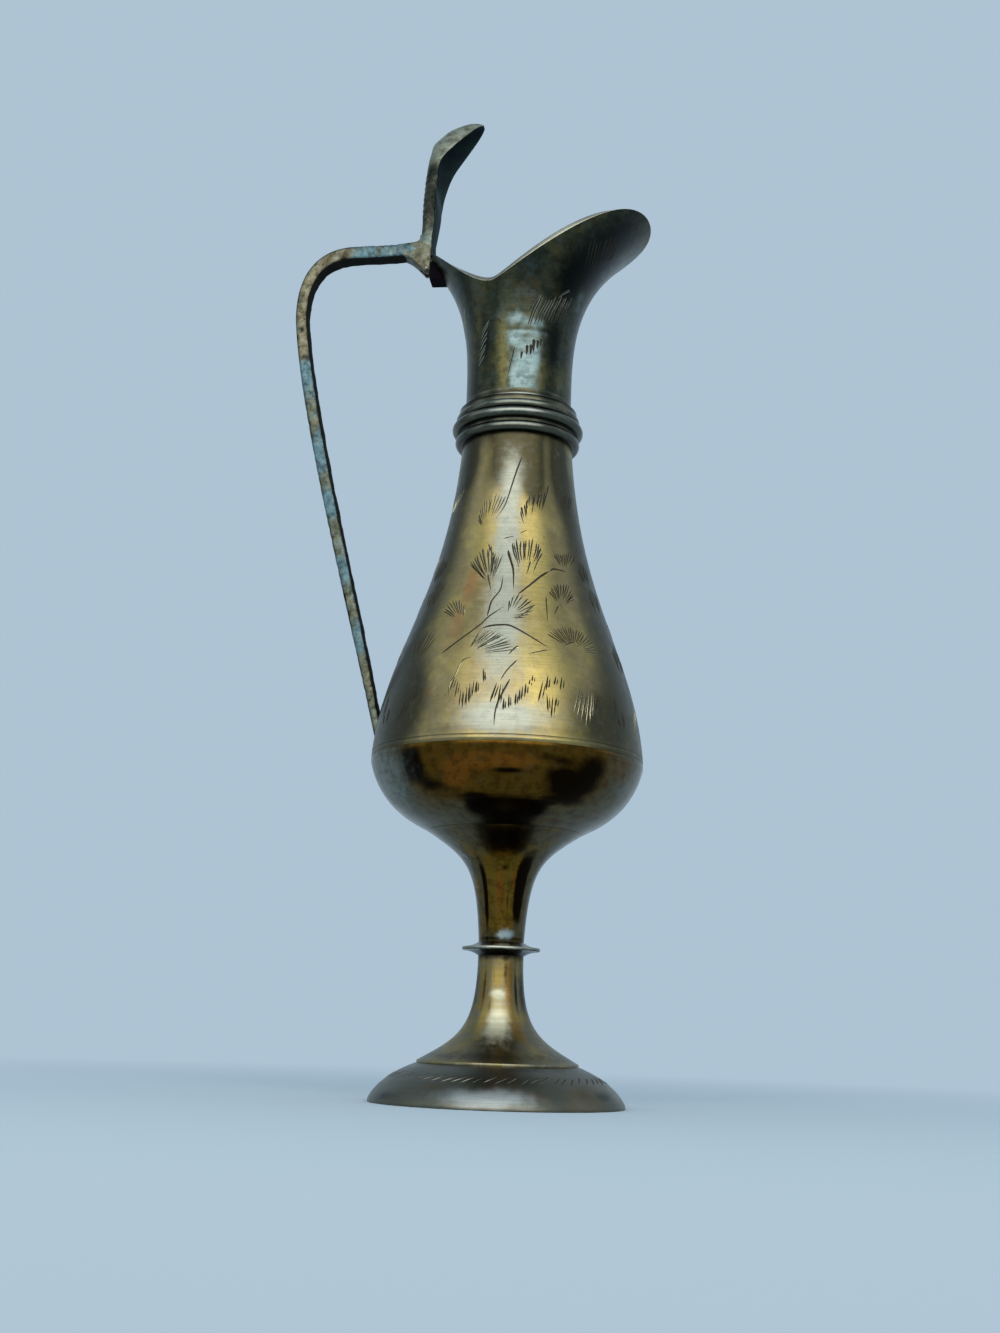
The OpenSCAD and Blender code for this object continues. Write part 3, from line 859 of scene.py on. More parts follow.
@dataclass
class Foot:
    """The domed skirt and the trumpet that stands on it."""

    radius: float = 24.25  # where the foot stands
    edge: float = 0.5  # height of its upright edge
    ring: float = 1.3  # width of the ring that touches the table
    skirt: float = 7.4  # height of the skirt
    wall: float = 1.1  # of the skirt
    flange: float = 15.3  # radius of the trumpet's flange
    flange_edge: float = 0.45  # its thickness
    hole: float = 9.0  # radius of the hole in the skirt
    trumpet: float = 20.2  # height of the trumpet
    trumpet_wall: float = 1.2
    stem: float = 4.35  # radius of the stem
    bore: float = 3.0  # radius of the hollow under the screw's seat
    roof: float = 18.0  # height of that seat
    play: float = 0.1  # room round the trumpet's spigot in the skirt's hole
    marks: int = 62  # strokes round the skirt
    marks_foot: float = 4.5  # height of their ends
    marks_rise: float = 1.15  # how much higher their heads lie
    marks_width: float = 0.34  # at their heads

    def build(self) -> None:
        """Builds skirt, trumpet and the skirt's strokes."""
        skirt = pulled((self.radius, self.edge), (self.flange, self.skirt), (0.073, 0.27),
                       (0.363, 0.695), 48)
        under = [p for p in inset(skirt, self.wall) if p[1] > self.edge and p[0] > self.flange]
        bm = turned(
            [(self.radius - self.ring, 0), (self.radius - EASE, 0), (self.radius, EASE)] + skirt
            + [(self.hole, self.skirt), (self.hole, self.skirt - self.wall)]
            + [(self.flange, self.skirt - self.wall)] + under[::-1])
        paint(bm, patched(SKIRT_STAINS_AND_PAINTED_LIGHT))
        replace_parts(finished(bm, "skirt_shell", SKIRT_BRASS), "foot_skirt")

        top = self.skirt + self.trumpet
        rise = pulled((self.flange, self.skirt + self.flange_edge), (self.stem, top),
                      (0.718, 0.222), (1, 0.3), 64)
        spigot = self.hole - self.play
        throat = spigot - self.trumpet_wall
        inner = [p for p in inset(rise, self.trumpet_wall)
                 if self.bore < p[0] < throat and p[1] < self.roof]
        bm = turned(
            [(SCREW_HOLE, self.roof), (self.bore, self.roof)] + inner[::-1]
            + [(throat, self.skirt - self.wall), (spigot, self.skirt - self.wall)]
            + [(spigot, self.skirt), (self.flange, self.skirt)]
            + [(self.flange + 0.06, self.skirt + 0.2)] + rise + [(SCREW_HOLE, top)])
        paint(bm, patched(TRUMPET_STAINS_AND_PAINTED_LIGHT))
        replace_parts(finished(bm, "trumpet_shell", TRUMPET_BRASS), "foot_trumpet")

        graver = Graver(skirt, lift=0.06, seed=11)
        draw = graver.hand.uniform
        bm = bmesh.new()
        for i in range(self.marks):
            azimuth = 360 * i / self.marks + draw(-1.2, 1.2)
            lean = draw(5.5, 8.5)
            low = self.marks_foot + draw(-0.15, 0.2)
            graver.stroke(bm, [(azimuth + lean, low + self.marks_rise), (azimuth, low)],
                          self.marks_width, 0.4, 4)
        engraved(bm, "skirt_strokes", SKIRT_BURR)


@dataclass
class Stem:
    """The disc round the stem and the funnel that opens into the bowl."""

    foot: float = 27.6  # height at which the disc starts
    hub: float = 2.6  # height of the disc's hub
    radius: float = 4.35  # of the stem
    disc: float = 7.5  # radius of the disc
    rim: float = 0.6  # thickness of the disc's edge
    funnel: float = 21.0  # height of the funnel
    seam: float = 15.0  # radius of the seam with the bowl
    wall: float = 1.0
    floor: float = 13.4  # height of the funnel's solid foot

    def build(self) -> None:
        """Builds disc and funnel."""
        start = self.foot + self.hub
        edge = self.foot + (self.hub - self.rim) / 2
        low = pulled((self.radius, self.foot), (self.disc - 0.08, edge), (0.25, 0.6), (0.6, 0.9),
                     14)
        high = [(r, 2 * self.foot + self.hub - z) for r, z in low][::-1]
        middle = [(self.disc, edge + EASE), (self.disc, edge + self.rim - EASE)]
        bm = turned([(SCREW_HOLE, self.foot)] + low + middle + high + [(SCREW_HOLE, start)])
        paint(bm, patched(DISC_PAINTED_LIGHT))
        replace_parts(finished(bm, "disc_ring", DARK_BRASS), "stem_disc")

        top = (self.seam, start + self.funnel)
        back = 0.88 * (self.seam - self.radius)
        line = cubic(
            (self.radius, start),
            (mix(self.radius, self.seam, 0.079), start + 0.69 * self.funnel),
            (self.seam - back * math.cos(SEAM_SLOPE), top[1] - back * math.sin(SEAM_SLOPE)),
            top, 72)
        floor = start + self.floor
        inner = [p for p in inset(line, self.wall) if p[1] > floor]
        bm = turned(
            [(SCREW_HOLE, start)] + line[:-1]
            + [(self.seam - 0.05, top[1] - 0.03), (self.seam - 0.12, top[1])]
            + inner[::-1] + [(inner[0][0], floor), (SCREW_HOLE, floor)])
        paint(bm, patched(FUNNEL_STAINS_AND_PAINTED_LIGHT))
        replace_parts(finished(bm, "funnel_shell", FUNNEL_BRASS), "stem_funnel")


@dataclass
class Body:
    """Bowl and shoulder, with the engraved sprays."""

    seam: Point = (15.0, 51.2)  # radius and height of the seam with the funnel
    belly: float = 26.7  # radius at the belly
    level: float = 64.9  # height of the belly
    band: float = 1.4  # height of the upright band there
    neck: float = 11.25  # radius under the collar
    collar: float = 130.2  # height of the collar's foot
    joint: float = 133.2  # height at which the shoulder's tube ends
    wall: float = 1.0
    lap: float = 1.5  # height of the lap at the belly
    sprays: int = 3  # engraved sprays round the body

    def bowl_line(self) -> list[Point]:
        """Draws the bowl's outline.

        Returns:
            Its points, from the seam up to the belly.
        """
        reach = 0.19 * (self.belly - self.seam[0])
        top = (self.belly, self.level - self.band / 2)
        first = (self.seam[0] + reach * math.cos(SEAM_SLOPE),
                 self.seam[1] + reach * math.sin(SEAM_SLOPE))
        second = (mix(self.seam[0], top[0], 0.81), mix(self.seam[1], top[1], 0.27))
        return cubic(self.seam, first, second, top, 72)

    def build(self) -> None:
        """Builds bowl, shoulder and the engraving."""
        bowl = self.bowl_line()
        lap = self.belly - self.wall / 2
        inside = self.belly - self.wall
        lap_top = self.level + self.lap
        bm = turned(
            [(self.seam[0] - 0.1, self.seam[1]), (self.seam[0] + SEAM, self.seam[1] + 0.04)]
            + bowl[1:] + [(self.belly, self.level - SEAM), (self.belly - SEAM, self.level)]
            + [(lap, self.level), (lap, lap_top), (inside, lap_top)]
            + inset(bowl, self.wall)[::-1])
        paint(bm, patched(BOWL_STAINS_AND_PAINTED_LIGHT))
        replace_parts(finished(bm, "bowl_shell", BOWL_BRASS), "body_bowl")

        line = pulled((self.belly, self.level + self.band / 2), (self.neck, self.collar),
                      (0.121, 0.334), (0.848, 0.481), 110)
        # A low round ridge, 1.1 mm high, which runs round the belly just over the seam
        ridge = [
            (self.belly - 0.17 + 0.16 * math.sin(math.pi * i / 8), self.level + 0.05 + 1.1 * i / 8)
            for i in range(9)
        ]
        end = [(self.neck, self.joint)]
        bm = turned(
            [(lap + PLAY, self.level), (self.belly - SEAM, self.level)] + ridge
            + [p for p in line if p[1] > ridge[-1][1]] + end + inset(line + end, self.wall)[::-1]
            + [(inside, lap_top + PLAY), (lap + PLAY, lap_top + PLAY)])
        paint(bm, patched(SHOULDER_STAINS_AND_PAINTED_LIGHT))
        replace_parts(finished(bm, "shoulder_shell", SHOULDER_BRASS), "body_shoulder")

        graver = Graver(line)
        bm = bmesh.new()
        for turn in (360 * i / self.sprays for i in range(self.sprays)):
            graver.spray(bm, turn, SPRAY_FANS, SPRAY_CUTS, SPRAY_RAKES)
            for azimuth, height, lean, length, width in HANGING:
                # Only those near the shoulder's two edges catch the light
                bright = 36 < abs(azimuth) < 46
                # Each is doubled by a shorter one beside it
                for share in (1.0, 0.7):
                    a, z = azimuth + turn, height
                    if share < 1:
                        a, z = a + graver.hand.uniform(0.7, 1.1), z - 0.5
                    ends = [(a + lean * share, z - length * share), (a, z)]
                    graver.stroke(bm, ends, width * 1.08 * share, 0.4, 4, bright)
        engraved(bm, "body_strokes", BURR)


@dataclass
class Collar:
    """The ring with two beads over the joint of body and mouth."""

    foot: float = 130.2  # height of its foot
    waist: float = 12.1  # radius between the beads
    low_bore: float = 11.3  # radius round the shoulder
    top_bore: float = 10.9  # radius round the mouth's neck
    joint: float = 133.2  # height at which the bore narrows
    shelf: float = 7.7  # height of the corner over the beads
    height: float = 9.5

    def build(self) -> None:
        """Builds the ring."""
        # Foot, top, rise and number of steps of each bead
        beads = [(0, 2.1, 0.65, 16), (2.8, 4.8, 1.35, 24), (4.8, 6.7, 0.6, 16)]
        outline = [(self.low_bore, self.foot)]
        for low, high, rise, steps in beads:
            outline += bulge((self.waist, self.foot + low), (self.waist, self.foot + high), rise,
                             steps)
        corner = (self.top_bore, self.foot + self.shelf)
        outline += cubic((self.waist, corner[1]), corner, corner,
                         (self.top_bore, self.foot + self.height), 14)
        bm = turned(outline + [(self.top_bore, self.joint), (self.low_bore, self.joint)])
        paint(bm, patched({mask: [(a, self.foot + z, *rest) for a, z, *rest in rows]
                           for mask, rows in COLLAR_STAINS_AND_PAINTED_LIGHT.items()}))
        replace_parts(finished(bm, "collar_beads", COLLAR_BRASS), "collar_ring")


@dataclass
class Mouth:
    """The neck and the trumpet mouth, trimmed from the side to a lip, two saddles and a back."""

    foot: float = 133.2  # height of its foot inside the collar
    flare: float = 142.0  # height at which the trumpet starts
    neck: float = 10.85  # radius of the neck
    full: float = 28.5  # radius of the untrimmed trumpet
    height: float = 38.5  # height of the untrimmed trumpet
    wall: float = 1.0
    lip: float = 37.3  # height of the lip above the trumpet's start
    saddle: float = 20.9  # height of the saddles above it
    back: float = 30.2  # height of the back edge above it
    saddle_back: float = 5.0  # distance of the saddles behind the axis
    ease: float = 0.13  # how far the rim's edges are eased
    around: int = 224  # faces round the axis
    along: int = 96  # faces up the wall

    def line(self) -> list[Point]:
        """Draws the outline of the untrimmed mouth.

        Returns:
            Its points, from the collar up.
        """
        return [(self.neck, self.foot)] + pulled(
            (self.neck, self.flare), (self.full, self.flare + self.height), (0, 0.359),
            (0.036, 0.669), 120)

    def rim(self) -> list[Point]:
        """Draws the trimmed rim as seen from the side.

        Returns:
            Its points, from the back to the lip.
        """
        table = [(z, r) for r, z in self.line()]
        saddle = (-self.saddle_back, self.flare + self.saddle)
        lip = (between(table, self.flare + self.lip), self.flare + self.lip)
        back = (-between(table, self.flare + self.back) + self.wall, self.flare + self.back)
        rear = pulled(saddle, back, (0.27, 0), (0.68, 0.62), 40)
        front = pulled(saddle, lip, (0.108, 0), (0.677, 0.94), 60)
        return rear[::-1] + front[1:]

    def trimmed(self, line: Sequence[Point], azimuth: float, rim: Sequence[Point]) -> float:
        """Finds how far along a line the rim cuts it.

        Args:
            line: Radius and height along the wall.
            azimuth: Angle from the lip, in radians.
            rim: The rim as seen from the side.

        Returns:
            The place on the line, in points.
        """
        low, was = 0, None
        for i, (r, z) in enumerate(line):
            over = z - between(rim, r * math.cos(azimuth))
            if over >= 0 and was is not None:
                return low + was / (was - over)
            low, was = i, over
        return len(line) - 1.0

    def shell(self) -> Mesh:
        """Builds the trimmed shell.

        Returns:
            Its two walls, closed at the foot and at an eased rim, which has the second finish.
        """
        bm = bmesh.new()
        rim, outer = self.rim(), self.line()
        inner = inset(outer, self.wall)
        turns = [math.tau * k / self.around for k in range(self.around)]
        inside, outside = ([self.trimmed(wall, a, rim) for a in turns] for wall in (inner, outer))
        # At the sides the rim is cut square to the wall, at lip and back level with the table.
        # Where the walls end is counted in points of their outlines.
        square = [1 - math.cos(a) ** 4 for a in turns]
        low = [o + ((i - o) * 0.5 - 1.1) * q for i, o, q in zip(inside, outside, square)]
        high = [i + ((o - i) * 0.5 + 0.9) * q for i, o, q in zip(inside, outside, square)]
        for wall, stops in ((outer, low), (inner, high)):

            def place(u: float, v: float) -> Vector:
                """Puts a corner on the wall, drawn down to the rim.

                Args:
                    u: Share of the turn.
                    v: Share of the height.

                Returns:
                    The corner's position.
                """
                k = round(u * self.around) % self.around
                t = v ** 0.8 * stops[k]  # with closer steps towards the rim
                i = min(int(t), len(wall) - 2)
                r, z = (mix(*ends, t - i) for ends in zip(wall[i], wall[i + 1]))
                return Vector((r * math.cos(turns[k]), r * math.sin(turns[k]), z))

            draped(bm, self.around, self.along, place)
        bmesh.ops.remove_doubles(bm, verts=bm.verts, dist=MERGE)
        loops = [e for e in bm.edges if e.is_boundary]
        split = (self.foot + self.flare) / 2
        for upper in (False, True):
            pair = [e for e in loops if (e.verts[0].co.z > split) == upper]
            for face in bmesh.ops.bridge_loops(bm, edges=pair)["faces"]:
                face.material_index = 1
        bmesh.ops.recalc_face_normals(bm, faces=bm.faces)
        sharp = math.radians(35)
        edges = [e for e in bm.edges if len(e.link_faces) == 2
                 and e.calc_face_angle(0) > sharp and e.verts[0].co.z > split]
        bmesh.ops.bevel(bm, geom=edges, offset=self.ease, segments=3, profile=0.5,
                        affect="EDGES", material=-1)
        return bm

    def build(self) -> None:
        """Builds the mouth and its strokes."""
        bm = self.shell()
        tint = patched(MOUTH_STAINS_AND_PAINTED_LIGHT)
        radii = [(z, r) for r, z in self.line()]

        def shade(co: Vector) -> list[float]:
            """Adds up the patches, and darkens the inside with painted shade.

            Args:
                co: Position.

            Returns:
                The four shares there.
            """
            shares = tint(co)
            # Painted shade: the inside of the mouth is darker
            if math.hypot(co.x, co.y) < between(radii, co.z) - 0.6:
                shares[Mask.DARK_AND_SHADE.value] += 0.6
            return shares

        paint(bm, shade)
        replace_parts(finished(bm, "mouth_shell", MOUTH_BRASS, RIM), "spout_neck")

        bm = bmesh.new()
        graver = Graver(self.line(), seed=23)
        graver.spray(bm, rakes=NECK_RAKES)
        graver.spray(bm, cuts=NECK_CUTS)
        engraved(bm, "neck_strokes", NECK_BURR)


@dataclass
class Handle:
    """The cast handle: long run, corner, arm, forked tab and thumb leaf."""

    width: float = 3.8  # across the ewer
    arm: float = 3.2  # thickness of the arm
    corner: float = 2.5  # thickness at the corner
    end: float = 1.7  # thickness at the lower end
    tab_x: float = -19.59  # place of the tab's face
    tab: float = 2.5  # thickness of the tab
    tip: float = 1.3  # thickness of the tab's foot
    arm_z: float = 175.4  # height of the arm's middle line
    drop: float = 5.3  # reach of the tab below that line
    fork: float = 171.5  # height at which the slot between the tab's cheeks ends
    slot: float = 0.8  # half its width
    web: float = 6.0  # length of the web between tab and arm
    reach: float = 47.0  # distance of the corner's end from the axis
    arm_length: float = 15.5
    corner_height: float = 15.0
    low: Point = (-25.48, 68.9)  # place of the lower end
    swell: float = 0.22  # how much fuller the run is towards the ewer
    leaf: Point = (10.2, 29.25)  # forward reach and height of the leaf above the arm
    leaf_width: float = 11.6  # greatest
    leaf_depth: float = 5.2  # greatest
    leaf_wall: float = 1.1
    root: float = 3.2  # how deep the leaf is sunk into the tab
    lug_foot: float = 168.2  # height of the lug's foot
    lug_top: float = 172.1  # height of its top
    lug_width: float = 4.3
    rivet: Point = (-20.44, 170.9)  # place of the rivet
    rivet_radius: float = 0.5

    def path(self) -> list[tuple[float, float, float]]:
        """Draws the middle line of arm, corner and run.

        Returns:
            Place and half thickness of each step, from the arm to the lower end.
        """
        start = (self.tab_x - self.tab + 0.4, self.arm_z)
        bend = (start[0] - self.arm_length, self.arm_z - self.corner / 4)
        turn = (-self.reach, self.arm_z - self.corner_height)
        straight = [tuple(mix(*ends, i / 24) for ends in zip(start, bend)) for i in range(25)]
        made = []
        for line, first, last in (
            (straight, self.arm, self.arm),
            (pulled(bend, turn, (0.7, 0.04), (1.02, 0.42), 40), self.arm, self.corner),
            (pulled(turn, self.low, (0.061, 0.22), (0.718, 0.736), 200), self.corner, self.end),
        ):
            steps = len(line) - 1
            made = made[:-1]
            made += [(x, z, mix(first, last, i / steps) / 2) for i, (x, z) in enumerate(line)]
        return made

    def ring(self, v: float) -> Point:
        """Gives the place on the bar's rounded section, across and through, from -1 to 1."""
        a = math.tau * (v + 0.5)
        return tuple(math.copysign(abs(c) ** 0.42, c) for c in (math.cos(a), math.sin(a)))

    def bar(self, bm: Mesh) -> None:
        """Adds arm, corner and run as one rough cast bar.

        Args:
            bm: Mesh to add to.
        """
        path = self.path()
        spots = [(x, z) for x, z, _ in path]
        sides = inset(spots, 1.0)
        count = len(path) - 1
        hand = random.Random(5)
        # Casting notches in the run's outer face: step, depth and half length of each
        notches = []
        i = 118.0
        while i < 244:
            notches.append((i, hand.uniform(0.04, 0.13), hand.uniform(0.6, 1.1)))
            i += hand.uniform(3.5, 7)

        def notch(k: float, across: float, through: float) -> float:
            """Gives the depth of the notches.

            Args:
                k: Step along the path.
                across: Place across the section, from -1 to 1.
                through: Place through it, towards the ewer, from -1 to 1.

            Returns:
                The depth there.
            """
            side = max(0.0, 0.4 - through * 0.6)
            cut = sum(d * math.exp(-(((k - at) / w) ** 2)) * side for at, d, w in notches)
            # Five short file marks across the arm, near the tab
            near = max(0.0, -across - 0.3)
            for n in range(5):
                cut += 0.34 * near * math.exp(-(((k - 6 - 2 * n + through * 1.2) / 0.7) ** 2))
            return cut

        def place(u: float, v: float) -> Vector:
            """Puts a corner of the grid on the bar's rounded section.

            Args:
                u: Share along the path.
                v: Share round the section.

            Returns:
                The corner's position.
            """
            k = round(u * count)
            x, z, half = path[k]
            nx, nz = sides[k][0] - x, sides[k][1] - z
            across, through = self.ring(v)
            grain = noise.noise(Vector((x, across * 2, z)) * 0.45) * 0.16
            grain += noise.noise(Vector((x, across * 2 + 9, z)) * 1.3) * 0.09
            cut = notch(k, across, through)
            # The run is fuller towards the ewer, except near its two ends
            fuller = self.swell * min(1.0, max(0.0, (k - 50) / 60)) * min(1.0, (count - k) / 60)
            half = half * (1 + grain * 0.25) - cut * 0.7 + fuller
            wide = self.width / 2 * (1 + grain * 0.15) - cut
            out = half * through + (grain * 0.4 + fuller)
            return Vector((x + nx * out, wide * across, z + nz * out))

        def shade(u: float, v: float) -> list[float]:
            """Gives the masks: a worn bend, blue patches, dark edges and notches.

            Args:
                u: Share along the path.
                v: Share round the section.

            Returns:
                The four shares there.
            """
            k = u * count
            across, through = self.ring(v)
            edge = max(0.0, abs(across) + abs(through) - 1.5)
            blue = sum(math.exp(-(((k - at) / reach) ** 2)) for at, reach in PATCHES)
            x, z = spots[round(k)]
            spot = Vector((x + through * 1.3, across * 2, z + through * 0.5))
            grain = noise.noise(spot * 0.35) + noise.noise(spot * 1.1) * 0.7
            bend = 1 / (1 + math.exp((24 - k) / 4)) / (1 + math.exp((k - 92) / 9))
            cut = notch(k, across, through)
            soot = max(0.0, noise.noise(spot * 0.8) - 0.1) * 0.9
            return [
                0.35 + 0.55 * bend + grain * 0.5,
                0.1 + 0.3 * bend - grain * 0.6,
                edge * (2.2 - 1.4 * bend) + cut * 1.4 + soot,
                blue * 1.15 + grain * 0.6 + 0.15 * (1 - bend) - cut * 4,
            ]

        # The faces towards the ewer, under the arm, take the painted shade
        verts = draped(bm, count, 28, place, shade, lambda u, v: int(0.6 < v < 0.9))
        bmesh.ops.remove_doubles(bm, verts=verts, dist=MERGE)

    def plate(self, bm: Mesh, outline: Sequence[Point], low: float, high: float) -> None:
        """Adds an upright plate with eased edges.

        Args:
            bm: Mesh to add to.
            outline: Its outline in the plane of handle and lip.
            low: Its near side.
            high: Its far side.
        """
        made = bmesh.new()
        face = made.faces.new([made.verts.new((x, low, z)) for x, z in outline])
        grown = bmesh.ops.extrude_face_region(made, geom=[face])["geom"]
        bmesh.ops.translate(made, verts=[g for g in grown if isinstance(g, bmesh.types.BMVert)],
                            vec=(0, high - low, 0))
        bmesh.ops.recalc_face_normals(made, faces=made.faces)
        # The sharp edges of the two outer faces
        rims = [e for e in made.edges if e.calc_face_angle(0) > 0.9
                and all(abs(v.co.y) > self.width / 2.1 for v in e.verts)]
        bmesh.ops.bevel(made, geom=rims, offset=0.35, segments=3, profile=0.5, affect="EDGES",
                        material=-1)
        # The web narrows by a tenth towards the arm
        for vert in made.verts:
            near = (vert.co.x - self.tab_x + self.tab / 2 + self.web) / 3
            vert.co.y *= 0.9 + 0.1 * min(1.0, max(0.0, near))
        mesh = bpy.data.meshes.new("plate")
        made.to_mesh(mesh)
        made.free()
        bm.from_mesh(mesh)
        bpy.data.meshes.remove(mesh)

    def tabs(self, bm: Mesh) -> None:
        """Adds the forked tab: the web above and a cheek on each side of the lug's tongue.

        Args:
            bm: Mesh to add to.
        """
        top = (self.tab_x - self.tab, self.arm_z + self.arm)
        start = self.tab_x - self.tab / 2 - self.web
        over, under = self.arm_z + self.arm / 2, self.arm_z - self.arm / 2
        foot = (self.tab_x - self.tip, self.arm_z - self.drop)
        web = cubic(top, (top[0], over), (top[0], over), (start, over - 0.3), 10)
        toe = pulled((start, under + 0.3), foot, (0.43, 0), (0.73, 0.58), 12)
        whole = [(self.tab_x, foot[1] + self.tip / 4), (self.tab_x, top[1])] + web + toe
        half, slot, split = self.width / 2, self.slot, self.fork
        cheek = between([(z, x) for x, z in toe[::-1]], split)
        upper = [p for p in whole if p[1] > split] + [(cheek, split), (self.tab_x, split)]
        lap = 0.03  # how far the web runs into the cheeks
        self.plate(bm, inset(upper[::-1], lap), -slot - lap, slot + lap)
        self.plate(bm, whole, -half, -slot)
        self.plate(bm, whole, slot, half)

    def thumb_leaf(self, bm: Mesh) -> None:
        """Adds the leaf: a spoon with a round back and a hollow towards the lip.

        Args:
            bm: Mesh to add to.
        """
        foot = (self.tab_x, self.arm_z + self.arm / 2)
        tip = (self.tab_x + self.leaf[0], self.arm_z + self.leaf[1])
        # Steps sunk into the tab, steps above it and faces round the leaf
        sunk, rest, ring = 10, 90, 48
        steps = sunk + rest
        root = [(foot[0], foot[1] - self.root + self.root / sunk * i) for i in range(sunk)]
        spine = root + pulled(foot, tip, (0.22, 0.71), (-0.08, 0.535), rest)
        sides = inset(spine, 1.0)
        widths, depths, hollows = (flowing(t) for t in (LEAF_WIDTHS, LEAF_DEPTHS, LEAF_HOLLOWS))

        def place(u: float, v: float) -> Vector:
            """Puts a corner of the grid on the leaf's back or in its hollow.

            Args:
                u: Share along the leaf.
                v: Share round it, the back first.

            Returns:
                The corner's position.
            """
            k = round(u * steps)
            t = (k - sunk) / rest
            x, z = spine[k]
            nx, nz = sides[k][0] - x, sides[k][1] - z
            half = self.leaf_width / 2 * between(widths, t)
            depth = self.leaf_depth * between(depths, t)
            grain = ribs = 0.0
            power = between(LEAF_ROUNDS, t)
            a = math.tau * v
            across = math.copysign(abs(math.cos(a)) ** power, math.cos(a))
            if v > 0.5:
                # The hollow lies inside the back by the wall
                half -= 0.6 * self.leaf_wall * half / (self.leaf_width / 2)
                depth = max(depth - self.leaf_wall, depth / 8) * between(hollows, t)
            elif v < 0.5:
                grain = noise.noise(Vector((x, across * half, z)) * 0.5) * 0.12
                ribs = 0.07 * math.sin(z * 5.2 + across * 2) if 0.1 < t < 0.4 else 0.0
            out = depth * abs(math.sin(a)) ** power + grain
            return Vector((x + nx * (out + ribs), -half * across, z + nz * out))

        def shade(u: float, v: float) -> list[float]:
            """Gives the masks: a dark foot and a pale upper part, partly rubbed and partly a
            painted highlight.

            Args:
                u: Share along the leaf.
                v: Share round it.

            Returns:
                The four shares there.
            """
            t = (u * steps - sunk) / rest
            pale_and_highlight = min(1.0, max(0.0, (t - 0.4) * 4))
            foot = max(0.0, 1 - abs(t) * 12)
            return [0.2 + 1.3 * pale_and_highlight, 0.35 * (1 - pale_and_highlight), (1 - pale_and_highlight) * 0.66 - foot * 0.4,
                    0.3 * pale_and_highlight + 0.5 * foot]

        verts = draped(bm, steps, ring, place, shade, lambda u, v: 2 if v > 0.5 else 3)
        bmesh.ops.remove_doubles(bm, verts=verts, dist=MERGE)

    def lug(self) -> None:
        """Builds the lump of solder between mouth and tab, painted black for the shadow there, and
        the rivet's two heads.
        """
        wall = [(z, r) for r, z in Mouth().line()]
        bm = bmesh.new()
        bmesh.ops.create_cube(bm, size=1.0)
        bmesh.ops.subdivide_edges(bm, edges=bm.edges, cuts=7, use_grid_fill=True)
        bmesh.ops.smooth_vert(bm, verts=bm.verts, factor=0.5, use_axis_x=True, use_axis_y=True,
                              use_axis_z=True)
        for vert in bm.verts:
            z = mix(self.lug_foot, self.lug_top, min(max(vert.co.z * 1.04 + 0.5, 0), 1))
            x = mix(self.tab_x - 0.1, 0.55 - between(wall, z), vert.co.x + 0.5)
            vert.co = (x, vert.co.y * self.lug_width, z)
        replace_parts(finished(bm, "lug_lump", SHADOWED_LUG), "handle_lug")
        bm = bmesh.new()
        bmesh.ops.create_uvsphere(bm, u_segments=24, v_segments=12, radius=self.rivet_radius)
        # The sphere's halves are flattened and set on the tab's two sides
        for vert in bm.verts:
            vert.co.y = vert.co.y * 0.4 + math.copysign(self.width / 2, vert.co.y)
        bmesh.ops.translate(bm, verts=bm.verts, vec=(self.rivet[0], 0, self.rivet[1]))
        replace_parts(finished(bm, "rivet_heads", RIVET), "handle_rivet")

    def build(self) -> None:
        """Builds the casting, the lug and the rivet."""
        bm = bmesh.new()
        self.tabs(bm)

        def shade(co: Vector) -> list[float]:
            """Gives the tab's masks: brown at its foot, mottled grey and green above.

            Args:
                co: Position.

            Returns:
                The four shares there.
            """
            grain = noise.noise(co * 0.6) + noise.noise(co * 1.5) * 0.6
            return [
                0.6 + grain * 0.4,
                (0.5 if co.z < 172.8 else 0.0) - grain * 0.4,
                0.1 + max(0.0, noise.noise(co * 0.9 + Vector((9, 0, 0)))) * 1.2,
                min(1.0, max(0.2, (-24 - co.x) / 2.5)) + grain * 0.3,
            ]

        paint(bm, shade)
        self.bar(bm)
        self.thumb_leaf(bm)
        piece = finished(bm, "handle_casting", HANDLE_BRASS, UNDERSIDE_SHADE, HOLLOW, LEAF_BRASS)
        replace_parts(piece, "handle")
        self.lug()


def dress_small_parts() -> None:
    """Gives the screw and its washer their finish."""
    steel = STEEL.material()
    for name in ("stem_screw", "screw_washer"):
        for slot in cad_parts[name].material_slots:
            slot.material = steel
        log.info("%s: dressed", name)


# What the metal shows: stains, painted highlights, painted reflections and painted shade. Each
# patch is a row of
# SoftPatch's fields; heights on the collar are from its foot.

# On the skirt the pale patch at the front is a painted highlight
SKIRT_STAINS_AND_PAINTED_LIGHT = {
    Mask.WARM_AND_REFLECTION: ((24, 2.6, 9, 1.3, 0.6), (-24, 3.6, 12, 0.9, 0.5), (52, 3, 14, 1.6, 0.45)),
    Mask.DARK_AND_SHADE: ((66, 2.6, 12, 1.2, 0.7), (-52, 1.6, 14, 1.2, 0.6), (30, 6.9, 60, 0.5, 0.5)),
    Mask.PALE_AND_HIGHLIGHT: ((2, 2, 24, 2, 0.95), (95, 2.5, 30, 2, 0.6), (-110, 2.5, 36, 2, 0.6)),
}
